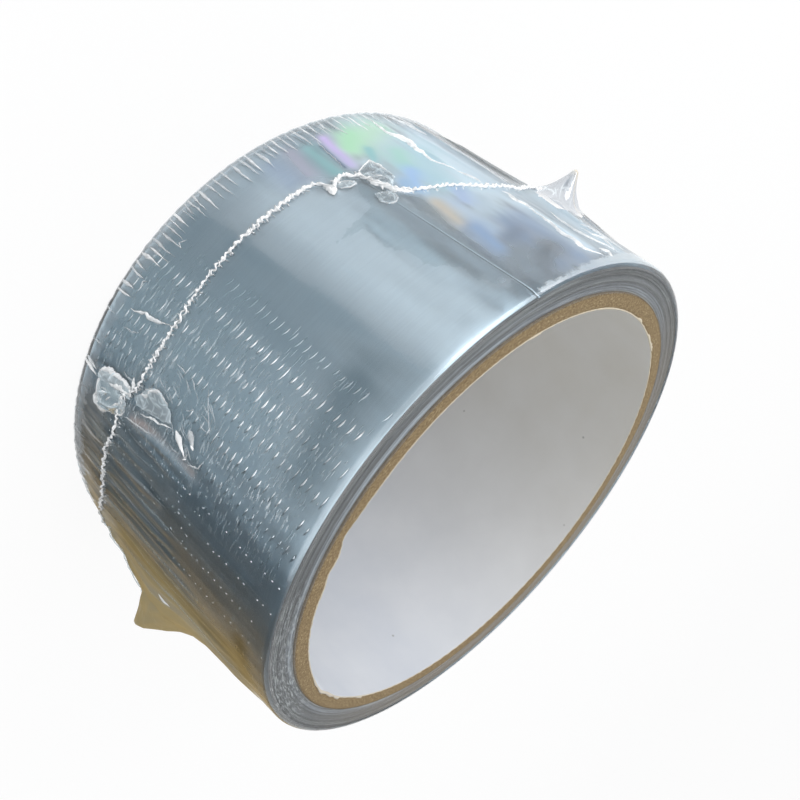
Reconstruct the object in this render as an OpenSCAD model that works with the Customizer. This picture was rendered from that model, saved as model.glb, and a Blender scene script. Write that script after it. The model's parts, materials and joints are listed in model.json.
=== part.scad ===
// Roll of foil tape on a board core, in its shrink film, standing on one end.
// Z is the axis of the roll, and angles are measured from the front, which is -Y.

/* [Core] */
// Inside diameter of the core, which sets the size of the roll
core_diameter = 76.2; // [50:0.1:110]
// Thickness of the white paper that lines the bore
liner_wall = 0.3; // [0.1:0.05:0.8]
// Thickness of the wound kraft board
board_wall = 2.5; // [1.5:0.1:5]
// Radius of the knock in the inner edge of the core
dent_radius = 3; // [2:0.1:5]
// How far that knock reaches into the wall of the core
dent_depth = 1.1; // [0.3:0.1:1.4]
// Where the knock is, round the upper end
dent_angle = 21; // [-180:1:180]

/* [Tape] */
// Width of the tape
tape_width = 50.4; // [40:0.1:100]
// Thickness of one turn of foil, cloth and adhesive
tape_thickness = 0.24; // [0.15:0.01:0.4]
// Number of turns on the core
turn_count = 20; // [6:1:60]
// How far the edge of a turn may lie short of the end of the roll
edge_wander = 0.16; // [0.02:0.01:0.3]
// Where the cut end of the tape lies
cut_end_angle = -33; // [-180:1:180]

/* [Shrink film] */
// Thickness of the film
film_thickness = 0.12; // [0.05:0.01:0.2]
// Clearance between the film and the tape
film_gap = 0.1; // [0.05:0.01:0.3]
// Number of gathers round the lower rim
gather_count = 110; // [40:1:110]
// Height of a gather at the lower rim
gather_height = 0.35; // [0.05:0.05:0.8]
// How far the gathers run up from that rim
gather_reach = 5; // [2:0.5:6]
// Height of the puckered bead along the seal
bead_height = 0.7; // [0.2:0.1:1.5]
// Width of that bead
bead_width = 1.6; // [0.8:0.1:2.4]
// Height of the web where the film stands off on the right
right_web_height = 4.4; // [0.5:0.1:8]
// Height of the tab on that web
right_tab_height = 3.5; // [0.5:0.1:6]
// Height of the web where the film stands off on the left
left_web_height = 2.6; // [0.5:0.1:8]
// Height of the tab on that web
left_tab_height = 3.5; // [0.5:0.1:6]

/* [Hidden] */

bore_r = core_diameter / 2;
liner_r = bore_r + liner_wall;
core_r = liner_r + board_wall;
tape_r = core_r + turn_count * tape_thickness;
film_stand = film_gap + film_thickness;
film_r = tape_r + film_stand;
roll_height = tape_width + 2 * film_stand;
tape_floor = film_stand;
tape_top = tape_floor + tape_width;
film_hole_r = core_r + film_gap;
// Over a rim the film bends as tightly as still clears the tape's square corner
film_bend = film_thickness + 2.3 * film_gap;
past = 1;

// The seal of the film: angle from the front, and height as a share of the roll
SEAL = [
    [-180, 0.49], [-110, 0.60], [-70, 0.61], [-62, 0.56], [-58, 0.57], [-42, 0.50], [-36, 0.475],
    [-34, 0.44], [-31.5, 0.33], [-29, 0.30], [-26, 0.32], [-23, 0.27], [-5, 0.27], [12, 0.28],
    [24, 0.27], [28, 0.225], [38, 0.22], [46, 0.19], [56, 0.15], [62, 0.125], [66, 0.13],
    [70, 0.17], [76, 0.35], [86, 0.39], [120, 0.42], [180, 0.49]
];
right_web_angle = 78;
right_web_reach = 18;
left_web_angle = -70;
left_web_reach = 15;
tab_reach = 5;
// Crumpled folds of the seal: angle, extra height and reach to each side
KNOTS = [[30, 1.6, 4], [-34, 1.2, 4]];
// Long wrinkles between the rims: first and last angle, and their height
wrinkled_from = 33;
wrinkled_to = 64;
wrinkle_height = 0.3;

function around(angle, r, z) = [r * cos(angle - 90), r * sin(angle - 90), z];
function falling(distance, reach, power) = pow(max(0, 1 - abs(distance) / reach), power);

module ring(outer, inner, height) {
    difference() {
        cylinder(h = height, r = outer, $fn = 180);
        translate([0, 0, -past]) cylinder(h = height + 2 * past, r = inner, $fn = 180);
    }
}

// The knock is a ball sunk into the inner edge at the upper end
module knock() {
    translate(around(dent_angle, bore_r + dent_depth - dent_radius, roll_height))
        sphere(r = dent_radius, $fn = 40);
}

module core_tube() {
    color("#94795a") difference() {
        ring(core_r, liner_r, roll_height);
        knock();
    }
}

module core_liner() {
    color("#d4d5d8") difference() {
        ring(liner_r, bore_r, roll_height);
        knock();
    }
}

// Each turn was slit and wound a little higher or lower than the one below it
function wander(turn, end) =
    edge_wander * (0.5 + 0.3 * sin(turn * 147 + end * 80) + 0.2 * sin(turn * 61 + end * 200));

// Section of the wound turns: up the outside, in over the upper end, and back along the lower
function turn_section() = concat(
    [for (turn = [turn_count - 1:-1:0], outer = [1, 0])
        [core_r + (turn + outer) * tape_thickness, tape_top - wander(turn, 1)]],
    [for (turn = [0:turn_count - 1], outer = [0, 1])
        [core_r + (turn + outer) * tape_thickness, tape_floor + wander(turn, 0)]]
);

// The outer turn climbs by one thickness from where the tape below it comes out to its cut end
lap_step = 4;
function lap_outline() = concat(
    [for (a = [0:lap_step:360])
        let(r = tape_r - tape_thickness * a / 360) r * [cos(a), sin(a)]],
    [for (a = [360:-lap_step * 5:0])
        (tape_r + past) / cos(lap_step * 2.5) * [cos(a), sin(a)]]
);

module tape() {
    color("#9fb2bd") difference() {
        rotate_extrude($fn = 180) polygon(turn_section());
        rotate([0, 0, cut_end_angle - 90]) linear_extrude(roll_height) polygon(lap_outline());
    }
}

// The film is one skin, laid out as columns round the roll and rows from hole to hole
columns = 2 * gather_count;
function column_angle(c) = -180 + 360 * c / columns;
function fold(c) = c % 2;

function seal_height(angle) = roll_height * lookup(angle, SEAL);
function web(angle) =
    right_web_height * falling(angle - right_web_angle, right_web_reach, 1.5)
    + left_web_height * falling(angle - left_web_angle, left_web_reach, 1.5);
function tab(angle) =
    right_tab_height * falling(angle - right_web_angle, tab_reach, 1)
    + left_tab_height * falling(angle - left_web_angle, tab_reach, 1);
function knot(angle) =
    max([for (k = KNOTS) k[1] * falling(angle - k[0], k[2], 0.6)]);
function wrinkled(angle) = angle > wrinkled_from && angle < wrinkled_to ? wrinkle_height : 0;

// How far the film stands off the wall at height z, between the seal and the nearer rim
function stand_off(angle, z) =
    let(seal = seal_height(angle), reach = z < seal ? seal : roll_height - seal)
    web(angle) * falling(z - seal, reach, 1.25);

// One row's radius and height, pulled in by the film's thickness for its inner face
function wall(c, z, extra, inside) =
    let(a = column_angle(c), rest = film_r + stand_off(a, z) + fold(c) * wrinkled(a))
    [rest + extra - inside * film_thickness, z];
function bend(inside) = film_bend - inside * film_thickness;
function rim(turn, gather, inside) =
    [film_r - film_bend + bend(inside) * sin(turn) + gather, film_bend - bend(inside) * cos(turn)];
function end_rows(gather, inside) =
    [[film_hole_r, inside * film_thickness], rim(0, 0, inside), rim(50, gather / 2, inside)];
function flipped(rows) = [for (i = [len(rows) - 1:-1:0]) [rows[i][0], roll_height - rows[i][1]]];
function seal_rows(c, inside) =
    let(a = column_angle(c), seal = seal_height(a), half = bead_width / 2)
    [
        wall(c, seal - half, 0, inside),
        wall(c, seal + (fold(c) - 0.5) * half, bead_height + knot(a) + tab(a), inside),
        wall(c, seal + half, 0, inside)
    ];
function rows(c, inside) =
    let(gather = fold(c) * gather_height)
    concat(
        end_rows(gather, inside),
        [wall(c, film_bend, gather, inside), wall(c, gather_reach, 0, inside)],
        seal_rows(c, inside),
        [wall(c, roll_height - gather_reach, 0, inside), wall(c, roll_height - film_bend, 0, inside)],
        flipped(end_rows(0, inside))
    );

module shrink_film() {
    row_count = len(rows(0, 0));
    skin = columns * row_count;
    points = [for (inside = [0, 1], c = [0:columns - 1], p = rows(c, inside))
        around(column_angle(c), p[0], p[1])];
    function at(inside, c, k) = inside * skin + (c % columns) * row_count + k;
    outer_faces = [for (c = [0:columns - 1], k = [0:row_count - 2], half = [0, 1]) half == 0
        ? [at(0, c, k), at(0, c + 1, k + 1), at(0, c + 1, k)]
        : [at(0, c, k), at(0, c, k + 1), at(0, c + 1, k + 1)]];
    inner_faces = [for (c = [0:columns - 1], k = [0:row_count - 2], half = [0, 1]) half == 0
        ? [at(1, c, k), at(1, c + 1, k), at(1, c + 1, k + 1)]
        : [at(1, c, k), at(1, c + 1, k + 1), at(1, c, k + 1)]];
    last = row_count - 1;
    hole_faces = [for (c = [0:columns - 1], half = [0, 1]) half == 0
        ? [at(0, c, 0), at(0, c + 1, 0), at(1, c + 1, 0)]
        : [at(0, c, 0), at(1, c + 1, 0), at(1, c, 0)]];
    upper_hole_faces = [for (c = [0:columns - 1], half = [0, 1]) half == 0
        ? [at(0, c, last), at(1, c + 1, last), at(0, c + 1, last)]
        : [at(0, c, last), at(1, c, last), at(1, c + 1, last)]];
    color("#c9dbe4", 0.35)
        polyhedron(points, concat(outer_faces, inner_faces, hole_faces, upper_hole_faces));
}

core_tube();
core_liner();
tape();
shrink_film();
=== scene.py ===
import json
import math

import bpy
import numpy as np
from mathutils import Matrix, Vector


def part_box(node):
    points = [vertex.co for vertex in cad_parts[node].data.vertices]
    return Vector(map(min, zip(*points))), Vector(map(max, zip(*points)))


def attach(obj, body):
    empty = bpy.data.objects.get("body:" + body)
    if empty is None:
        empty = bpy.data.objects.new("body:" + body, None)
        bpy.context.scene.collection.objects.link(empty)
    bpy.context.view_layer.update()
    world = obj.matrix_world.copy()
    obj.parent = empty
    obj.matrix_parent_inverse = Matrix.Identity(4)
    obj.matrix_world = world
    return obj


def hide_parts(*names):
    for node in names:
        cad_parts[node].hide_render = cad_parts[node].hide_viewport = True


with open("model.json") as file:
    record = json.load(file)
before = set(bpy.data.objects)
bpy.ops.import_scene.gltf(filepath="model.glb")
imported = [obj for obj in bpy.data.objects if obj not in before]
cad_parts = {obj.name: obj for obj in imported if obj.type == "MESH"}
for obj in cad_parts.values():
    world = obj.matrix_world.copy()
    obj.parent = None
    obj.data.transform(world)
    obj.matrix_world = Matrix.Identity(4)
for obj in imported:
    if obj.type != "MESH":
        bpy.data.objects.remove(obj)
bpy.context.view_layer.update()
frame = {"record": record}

# The camera stands in front of the roll and looks down on it. The photograph was taken of
# the roll lying on its side, so the picture is turned until the roll lies as it does there.
camera = bpy.data.objects.new("camera", bpy.data.cameras.new("camera"))
camera.data.sensor_width = 36
camera.data.lens = 43.2
camera.data.clip_start = 0.01
camera.location = (0, -0.14655, 0.10541)
heading, downward, rolled = 1.68, 29.12, 129.63
camera.rotation_euler = (
    Matrix.Rotation(math.radians(heading), 3, "Z")
    @ Matrix.Rotation(math.radians(90 - downward), 3, "X")
    @ Matrix.Rotation(math.radians(rolled), 3, "Z")
).to_euler()
bpy.context.scene.collection.objects.link(camera)
bpy.context.scene.camera = camera
bpy.context.scene.view_settings.view_transform = "Standard"

# The floor is a sheet of pale matt paper that curves up into a wall all round. Nothing else
# stands in the studio, so that the roll shows against it from every side.
mm = 0.001
around = np.linspace(-180, 180, 720, endpoint=False)


def linear(colour):
    """The linear red, green and blue of an sRGB hex colour, with an alpha of 1."""
    parts = [int(colour[i : i + 2], 16) / 255 for i in (1, 3, 5)]
    return [p / 12.92 if p <= 0.04045 else ((p + 0.055) / 1.055) ** 2.4 for p in parts] + [1]


def new_material(name):
    """An empty procedural material."""
    material = bpy.data.materials.new(name)
    material.use_nodes = True
    material.node_tree.nodes.clear()
    return material


def add_node(material, kind, settings=None):
    """Adds a node. Settings name its options and sockets, the stops of a ramp or the range of a
    remapped value. A socket takes a number, a hex colour, a node or the output of a node."""
    tree = material.node_tree
    node = tree.nodes.new("ShaderNode" + kind)
    for name, value in (settings or {}).items():
        if isinstance(name, str) and hasattr(node, name):
            setattr(node, name, value)
        elif name == "stops":
            for element, (position, colour) in zip(node.color_ramp.elements, (value[0], value[-1])):
                element.position, element.color = position, linear(colour)
            for position, colour in value[1:-1]:
                node.color_ramp.elements.new(position).color = linear(colour)
        elif name == "range":
            for limit, number in zip(("From Min", "From Max", "To Min", "To Max"), value):
                node.inputs[limit].default_value = number
        elif isinstance(value, bpy.types.Node):
            tree.links.new(value.outputs[0], node.inputs[name])
        elif isinstance(value, bpy.types.NodeSocket):
            tree.links.new(value, node.inputs[name])
        else:
            node.inputs[name].default_value = linear(value) if isinstance(value, str) else value
    return node


def place(angle, radius, height):
    """A point by its angle in degrees from the front, its radius and its height."""
    turn = np.radians(angle)
    parts = np.broadcast_arrays(radius * np.sin(turn), -radius * np.cos(turn), height)
    return np.stack(parts, axis=-1)


def mesh_piece(name, grids, materials, round_the_roll=False):
    """A smooth mesh object from grids of points, each of rows by columns."""
    points, faces, first = [], [], 0
    for grid in grids:
        rows, columns = grid.shape[:2]
        corner = first + np.arange(rows * columns).reshape(rows, columns)
        if round_the_roll:
            corner = np.hstack([corner, corner[:, :1]])
        quads = [corner[:-1, :-1], corner[:-1, 1:], corner[1:, 1:], corner[1:, :-1]]
        faces.append(np.stack(quads, axis=-1).reshape(-1, 4))
        points.append(grid.reshape(-1, 3))
        first += rows * columns
    mesh = bpy.data.meshes.new(name)
    mesh.from_pydata(np.concatenate(points).tolist(), [], np.concatenate(faces).tolist())
    mesh.shade_smooth()
    piece = bpy.data.objects.new(name, mesh)
    for material in materials:
        mesh.materials.append(material)
    bpy.context.scene.collection.objects.link(piece)
    return piece


# White paper, which the camera and mirrors see at nearly full white with a soft shadow on it.
backdrop_paper = new_material("matt_backdrop_paper")
paper_surface = add_node(backdrop_paper, "BsdfDiffuse", {"Color": "#f2f3f3"})
paper_white = add_node(backdrop_paper, "Emission", {"Color": "#ffffff", "Strength": 1.0})
seen_by = add_node(backdrop_paper, "LightPath")
seen_or_mirrored = add_node(backdrop_paper, "Math", {
    "operation": "ADD", 0: seen_by.outputs["Is Camera Ray"], 1: seen_by.outputs["Is Glossy Ray"],
})
seen_at_all = add_node(backdrop_paper, "Math", {
    "operation": "ADD", 0: seen_or_mirrored, 1: seen_by.outputs["Is Transmission Ray"],
})
paper_share = add_node(backdrop_paper, "Math", {
    "operation": "MULTIPLY", "use_clamp": True, 0: seen_at_all, 1: 0.93,
})
paper_whole = add_node(backdrop_paper, "MixShader", {
    0: paper_share, 1: paper_surface, 2: paper_white,
})
add_node(backdrop_paper, "OutputMaterial", {"Surface": paper_whole})

# Flat to 0.8 m out, then curved up at a radius of 0.35 m
cove = np.radians(np.linspace(0, 90, 16))
cove_radii = np.concatenate([[1e-4, 0.05, 0.2, 0.5], 0.8 + 0.35 * np.sin(cove), [1.15]])
cove_heights = np.concatenate([[0, 0, 0, 0], 0.35 - 0.35 * np.cos(cove), [0.5]])
floor = mesh_piece(
    "backdrop",
    [place(around[None, ::6], cove_radii[::-1, None], cove_heights[::-1, None])],
    [backdrop_paper],
    round_the_roll=True,
)


# Plain soft studio light: a pale room, a wide softbox overhead and a softbox at the left
# front, whose long reflection is the bright band on the foil.
def softbox(name, azimuth, elevation, distance, width, height, watts, colour):
    """A soft area lamp at an angle from the front, aimed at the middle of the roll."""
    lamp = bpy.data.objects.new(name, bpy.data.lights.new(name, "AREA"))
    lamp.data.shape = "RECTANGLE"
    lamp.data.size, lamp.data.size_y = width, height
    lamp.data.energy = watts
    lamp.data.color = linear(colour)[:3]
    level = math.radians(elevation)
    middle = 0.025
    lamp.location = place(azimuth, distance * math.cos(level), middle + distance * math.sin(level))
    aim = Vector((0, 0, middle)) - lamp.location
    lamp.rotation_euler = aim.to_track_quat("-Z", "Y").to_euler()
    bpy.context.scene.collection.objects.link(lamp)


softbox("left_front_softbox", -57, 28, 0.55, 0.54, 0.42, 2.1, "#ffffff")
softbox("overhead_softbox", 180, 78, 0.75, 0.6, 0.6, 1.6, "#ffffff")

world = bpy.data.worlds.new("pale_room")
world.use_nodes = True
world.node_tree.nodes.clear()
bpy.context.scene.world = world
room_light = add_node(world, "Background", {"Color": "#f4f6f9", "Strength": 0.6})
room_white = add_node(world, "Background", {"Color": "#ffffff", "Strength": 1.0})
room_ray = add_node(world, "LightPath")
room_mirrored = add_node(world, "Math", {
    "operation": "ADD", "use_clamp": True, 0: room_ray.outputs["Is Glossy Ray"],
    1: room_ray.outputs["Is Transmission Ray"],
})
room_whole = add_node(world, "MixShader", {0: room_mirrored, 1: room_light, 2: room_white})
add_node(world, "OutputWorld", {"Surface": room_whole})

# Cards lie and stand beside the roll, and only mirrors see them. Foil is a mirror, and they
# give it the grey, slate and warm brown bands of the photograph.
def paint(piece, name, values):
    """Keeps a number or a colour at each point of a piece for its material to read."""
    values = np.concatenate([np.asarray(part, np.float32).ravel() for part in values])
    kind, field = ("FLOAT_COLOR", "color") if name == "tint" else ("FLOAT", "value")
    piece.data.attributes.new(name, kind, "POINT").data.foreach_set(field, values)


def reflected_card(name, shades, distances, heights, top, skew, strength):
    """A card shaded by the angle at which the wall of the roll mirrors each strip of it."""
    distances, heights = np.array(distances)[:, None], np.array(heights)[:, None]
    strips, wall_r, level_row = 140, 46 * mm, 21
    angles = np.linspace(shades[0][0], shades[-1][0], strips)[None]
    stops, colours = [a for a, _ in shades], np.array([linear(colour) for _, colour in shades])
    shade = np.stack([np.interp(angles, stops, colours[:, i]) for i in range(4)], axis=-1)
    leaning = angles + skew * (distances - level_row) * np.linspace(1, 0, strips) ** 4
    wall = place(leaning, wall_r, 0)
    ray = wall - [*camera.location[:2], 0]
    outward = place(leaning, 1, 0)
    ray = ray - 2 * (ray * outward).sum(-1, keepdims=True) * outward
    spots = wall + ray / np.linalg.norm(ray, axis=-1, keepdims=True) * distances[..., None] * mm
    spots[..., 2] = heights * mm
    if top:
        spots[-1, :, 2] = np.interp(angles[0], [a for a, _ in top], [z for _, z in top]) * mm
    card_paint = new_material(name + "_paint")
    card_tint = add_node(card_paint, "Attribute", {"attribute_name": "tint"}).outputs["Color"]
    card_glow = add_node(card_paint, "Emission", {"Strength": strength, "Color": card_tint})
    add_node(card_paint, "OutputMaterial", {"Surface": card_glow})
    card = mesh_piece(name, [spots], [card_paint])
    paint(card, "tint", [shade + 0 * spots[..., :1]])
    card.visible_camera = card.visible_diffuse = card.visible_shadow = False
    card.visible_transmission = False


# Grey beside the bright band, slate at the middle, then dark and warm brown to the right
reflected_card(
    "low_card",
    [(-8, "#b4c1c7"), (-5, "#a6b4ba"), (2, "#9fafb6"), (8, "#a6b6bc"), (13, "#b1c2c8"),
     (19, "#afc0c7"), (24, "#8f9ea5"), (30, "#6d7d86"), (36, "#606c73"), (42, "#8c7f64"),
     (48, "#b09562"), (54, "#b6985f"), (60, "#bfa268"), (68, "#c6ac78")],
    [3, 20, 45, 75, 105, 112, 114, 114], [0.6, 0.6, 0.6, 1, 5, 12, 20, 20],
    [(-8, 28), (27, 30), (32, 120), (44, 120), (48, 45), (68, 45)], -0.033, 1.0,
)
# White and high up, for the glint along the shoulder of the upper rim
reflected_card("high_card", [(3, "#ffffff"), (29, "#ffffff")], [260, 260], [105, 430], None, 0, 1.7)

# The core is a tube of kraft board, wound in a spiral from several plies with glue and then
# slit to length. Its end shows torn fibres; the plies are not drawn apart.
roll_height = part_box("shrink_film")[1].z
board_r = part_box("core_tube")[1].x
liner_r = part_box("core_liner")[1].x
bore_r = frame["record"]["mounts"][0]["dims"]["r_mm"] * mm
# Where the inner edge was knocked out of round: angle, and how far the edge moved outward
KNOCKED = np.array([
    [-180, 0], [-100, 0.1], [-94, -0.1], [-80, -0.15], [-60, 0], [-30, 0.05], [10, 0.05], [15, 0.3],
    [18, 0.45], [20, 0.75], [22, 0.95], [23.5, 0.7], [25, 0.2], [27.5, -0.3], [30, -0.1], [32, 0.2],
    [33.5, 0], [35.5, -0.25], [38, -0.2], [41, 0], [46, 0.1], [62, 0.1], [70, 0.2], [74, 0.4],
    [78, 0.5], [82, 0.15], [87, 0.3], [95, 0.1], [180, 0],
])
board_inner = liner_r - 0.13 * mm  # the lining's edge is thinner than the lining


def unit(value):
    """A value held between 0 and 1."""
    return np.clip(value, 0, 1)


def knocked(angle, depth):
    """How far the inner edge lies out of round, at a depth below the upper end."""
    reach = unit(1 - depth / (3.2 * mm)) ** 1.6
    return np.interp(angle, *KNOCKED.T) * mm * reach


def waves(angle, across, seed, pitch, fineness=1):
    """Seamless random waves of height 1, pitch degrees long, that also vary across."""
    rng = np.random.default_rng(seed)
    total = 0
    for _ in range(7):
        count = max(1, round(360 / pitch * rng.uniform(0.6, 1.6)))
        slope = rng.uniform(-1, 1) * fineness
        total = total + np.sin(np.radians(count * angle) + slope * across + rng.uniform(0, 6.3))
    return total / 3.7


share = np.linspace(0, 1, 15)
board_rows = [place(around, board_r, z + 0 * around) for z in (0, roll_height - 0.3 * mm)]
for s in share:
    depth = 0.12 * mm * (abs(2 * s - 1) ** 6) + 0.035 * mm * (1 + waves(around, s * 40, 3, 1.1, 2))
    inner = board_inner + knocked(around, depth) + 0.05 * mm * waves(around, 0, 5, 1.3)
    outer = board_r - 0.05 * mm * (1 + waves(around, 0, 4, 9)) * (s < 0.01)
    board_rows.append(place(around, outer + (inner - outer) * s, roll_height - depth))
for depth in (0.6 * mm, 1.4 * mm, 2.4 * mm, 4 * mm, roll_height):
    board_rows.append(place(around, board_inner + knocked(around, depth), roll_height - depth))
board_rows.append(board_rows[0])


def coordinates(material):
    """A point of the roll: its object coordinates, their three parts, and it without height."""
    spot = add_node(material, "TexCoord").outputs["Object"]
    parts = add_node(material, "SeparateXYZ", {0: spot}).outputs
    return spot, parts, add_node(material, "CombineXYZ", {0: parts[0], 1: parts[1]})


def drawn_out(material, flat, long, across, wide):
    """Coordinates of a pattern drawn out round the roll, with its scales along and across."""
    turn = add_node(material, "VectorMath", {"operation": "NORMALIZE", 0: flat})
    lengthwise = add_node(material, "VectorMath", {"operation": "SCALE", 0: turn, "Scale": long})
    scaled = add_node(material, "Math", {"operation": "MULTIPLY", 0: across, 1: wide})
    crosswise = add_node(material, "CombineXYZ", {2: scaled})
    return add_node(material, "VectorMath", {"operation": "ADD", 0: lengthwise, 1: crosswise})


# Kraft board gives the eye short pale fibres in brown.
kraft = new_material("slit_kraft_board")
board_at, _, board_flat = coordinates(kraft)
board_out = add_node(kraft, "VectorMath", {"operation": "LENGTH", 0: board_flat})
board_radius = board_out.outputs["Value"]
# Fibres lie along the ply: about 0.6 mm long and 0.1 mm wide
board_grain = drawn_out(kraft, board_flat, 75, board_radius, 12000)
fibres = add_node(kraft, "TexNoise", {
    "Scale": 1.0, "Detail": 4.0, "Roughness": 0.65, "Vector": board_grain,
})
speckle = add_node(kraft, "TexNoise", {
    "Scale": 2700.0, "Detail": 3.0, "Roughness": 0.7, "Vector": board_at,
})
fibre_mix = add_node(kraft, "Math", {"operation": "MULTIPLY", 0: fibres, 1: 0.6})
fibre_sum = add_node(kraft, "Math", {"operation": "MULTIPLY_ADD", 0: speckle, 1: 0.4, 2: fibre_mix})
board_tone = add_node(kraft, "ValToRGB", {
    "stops": [(0.3, "#4e3f2f"), (0.42, "#766248"), (0.52, "#8a7757"), (0.61, "#a69573"),
              (0.72, "#d3c8a4")],
    0: fibre_sum,
})
# The outer ply is darker toward its outer edge, next to the first turn of tape
board_rim = add_node(kraft, "MapRange", {
    "range": (board_r - 0.45 * mm, board_r - 0.1 * mm, 0.0, 0.5), "Value": board_radius,
})
board_colour = add_node(kraft, "Mix", {
    "data_type": "RGBA", 0: board_rim, 6: board_tone, 7: "#5f5242",
})
board_bump = add_node(kraft, "Bump", {"Strength": 0.7, "Distance": 0.00012, "Height": fibre_sum})
board_surface = add_node(kraft, "BsdfPrincipled", {
    "Roughness": 0.88, "Specular IOR Level": 0.3, "Base Color": board_colour.outputs[2],
    "Normal": board_bump,
})
add_node(kraft, "OutputMaterial", {"Surface": board_surface})

core_board = mesh_piece("core_board", [np.stack(board_rows)], [kraft], round_the_roll=True)
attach(core_board, "root")
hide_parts("core_tube")

# The lining is a strip of smooth white paper, wound on first as the innermost ply. Its edge
# makes a faint seam up the bore, which is not drawn here, and a thin, frayed white rim at the slit
# end.
liner_rows = [place(around, liner_r, z + 0 * around) for z in (0, roll_height - 0.4 * mm)]


def bell(distance, width):
    """A smooth hump of height 1 round no distance."""
    return np.exp(-((distance / width) ** 2))


# Bits of the lining torn up over the board: angle, width in degrees and reach in mm
frayed = 0
for angle, width, reach in ((83, 2.0, 0.5), (78, 2.5, 0.45), (88, 1.5, 0.4), (-97, 2.2, 0.4),
                            (-92, 2.0, 0.35), (-80, 1.6, 0.45), (-34, 3, 0.2), (-60, 6, 0.15),
                            (72, 2, 0.3), (100, 2, 0.25)):
    torn = bell(around - angle, width) * (0.7 + 0.3 * waves(around, 0, 11, 1))
    frayed = frayed + reach * mm * torn
rim_step = 0.05 * mm * waves(around, 0, 12, 3)
for s in (0.0, 0.5, 1.0):
    radius = board_inner + (bore_r - board_inner) * s + knocked(around, 0) + frayed * (1 - s)
    rim_height = roll_height - 0.10 * mm + rim_step + 0.12 * mm * (frayed > 0.1 * mm)
    liner_rows.append(place(around, radius, rim_height))
for depth in np.concatenate([np.linspace(0.22, 4, 16), np.linspace(6, roll_height / mm, 22)]) * mm:
    buckle = 0.03 * mm * waves(around, depth / mm * 0.4, 13, 26)
    radius = bore_r + knocked(around, depth) + buckle * unit(depth / (6 * mm))
    liner_rows.append(place(around, radius, roll_height - depth))
liner_rows.append(liner_rows[0])

# Coated liner paper gives the eye an even cool white with a soft sheen and a few specks.
white_paper = new_material("coated_lining_paper")
liner_at = add_node(white_paper, "TexCoord").outputs["Object"]
mottle = add_node(white_paper, "TexNoise", {"Scale": 90.0, "Detail": 3.0, "Vector": liner_at})
liner_xyz = add_node(white_paper, "SeparateXYZ", {0: liner_at})
# One side of the bore is painted warmer and the other cooler: a painted warm reflection of brown
# surroundings
warm_light_side = add_node(white_paper, "MapRange", {
    "range": (0.03, -0.03), "Value": liner_xyz.outputs[0],
})
side_light_tone = add_node(white_paper, "Mix", {
    "data_type": "RGBA", 0: warm_light_side, 6: "#cdd1d9", 7: "#dad6cd",
})
mottled_share = add_node(white_paper, "MapRange", {"range": (0.3, 0.7, 0.0, 0.25), "Value": mottle})
paper_tone = add_node(white_paper, "Mix", {
    "data_type": "RGBA", 0: mottled_share, 6: side_light_tone.outputs[2], 7: "#efefef",
}).outputs[2]
specks = add_node(white_paper, "TexVoronoi", {"Scale": 160.0, "Vector": liner_at})
speck_mask = add_node(white_paper, "MapRange", {
    "range": (0.045, 0.03, 0.0, 0.55), "Value": specks.outputs["Distance"],
})
speck_tone = add_node(white_paper, "Mix", {
    "data_type": "RGBA", 0: speck_mask, 6: paper_tone, 7: "#8b8983",
})
# The lining is browner over the top 0.25 mm of its cut edge
browner_rim = add_node(white_paper, "MapRange", {
    "range": (roll_height - 0.25 * mm, roll_height - 0.12 * mm, 0.0, 0.7),
    "Value": liner_xyz.outputs[2],
})
browner_rim_tone = add_node(white_paper, "Mix", {
    "data_type": "RGBA", 0: browner_rim, 6: speck_tone.outputs[2], 7: "#c4b596",
})
grain = add_node(white_paper, "TexNoise", {"Scale": 2500.0, "Detail": 2.0, "Vector": liner_at})
paper_bump = add_node(white_paper, "Bump", {"Strength": 0.25, "Distance": 0.00004, "Height": grain})
liner_surface = add_node(white_paper, "BsdfPrincipled", {
    "Roughness": 0.55, "Specular IOR Level": 0.4, "Base Color": browner_rim_tone.outputs[2],
    "Normal": paper_bump,
})
add_node(white_paper, "OutputMaterial", {"Surface": liner_surface})

core_lining = mesh_piece("core_lining", [np.stack(liner_rows)], [white_paper], round_the_roll=True)
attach(core_lining, "root")
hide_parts("core_liner")

# The tape is aluminium foil laminated to an open cloth and coated with adhesive. It is wound
# on the core in twenty turns, and its cut end is left as a straight step up the outside.
tape_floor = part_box("tape")[0].z
tape_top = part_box("tape")[1].z
tape_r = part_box("tape")[1].y + 0.06 * mm  # beside the cut end it stands further out
tape_width = 50.4  # in mm
turns = 20
tape_thickness = (tape_r - board_r) / turns
cut_angle = -32.0
cut_slant = -0.034  # degrees for each millimetre of height
turn_angles = cut_angle + np.concatenate([[0.0], np.linspace(0.3, 359.4, 716),
                                          [359.7, 359.74, 359.96]])
climb = 1 - (turn_angles - cut_angle) / 360 / turns
beside_cut = turn_angles > cut_angle + 359.72  # a narrow gap before the cut end
pressed = 0.5 * mm  # how far the film has pulled the outer turns in at the two rims


def slanted(angle, height):
    """The cut end runs a little askew, and the columns of the mesh near it follow."""
    near = bell((angle - cut_angle + 180) % 360 - 180, 14)
    return angle + cut_slant * near * (height / mm - 25)


def turn_edge(turn, end):
    """How far one turn's slit edge lies below the end of the roll, all the way round."""
    own = 0.5 + 0.3 * math.sin(2.57 * turn + end) + 0.2 * math.sin(1.06 * turn + 3.5 * end)
    return 0.13 * mm * own + 0.02 * mm * (1 + waves(turn_angles, turn, 20 + turn, 40))


def slit_rows(level, way, end):
    """Rows of points over the slit edges at one end of the roll, from the core outward."""
    rows = []
    for turn in range(1, turns + 1):
        for back, sunk in ((0.92, 0.05), (0.35, 0.04), (0.0, 0.0)):
            pulled = pressed * (turn / turns) ** 3
            radius = board_r + (turn - back) * tape_thickness * climb - pulled
            height = level + way * (turn_edge(turn, end) + sunk * mm)
            rows.append(place(slanted(turn_angles, height), radius, height))
    return rows


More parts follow.
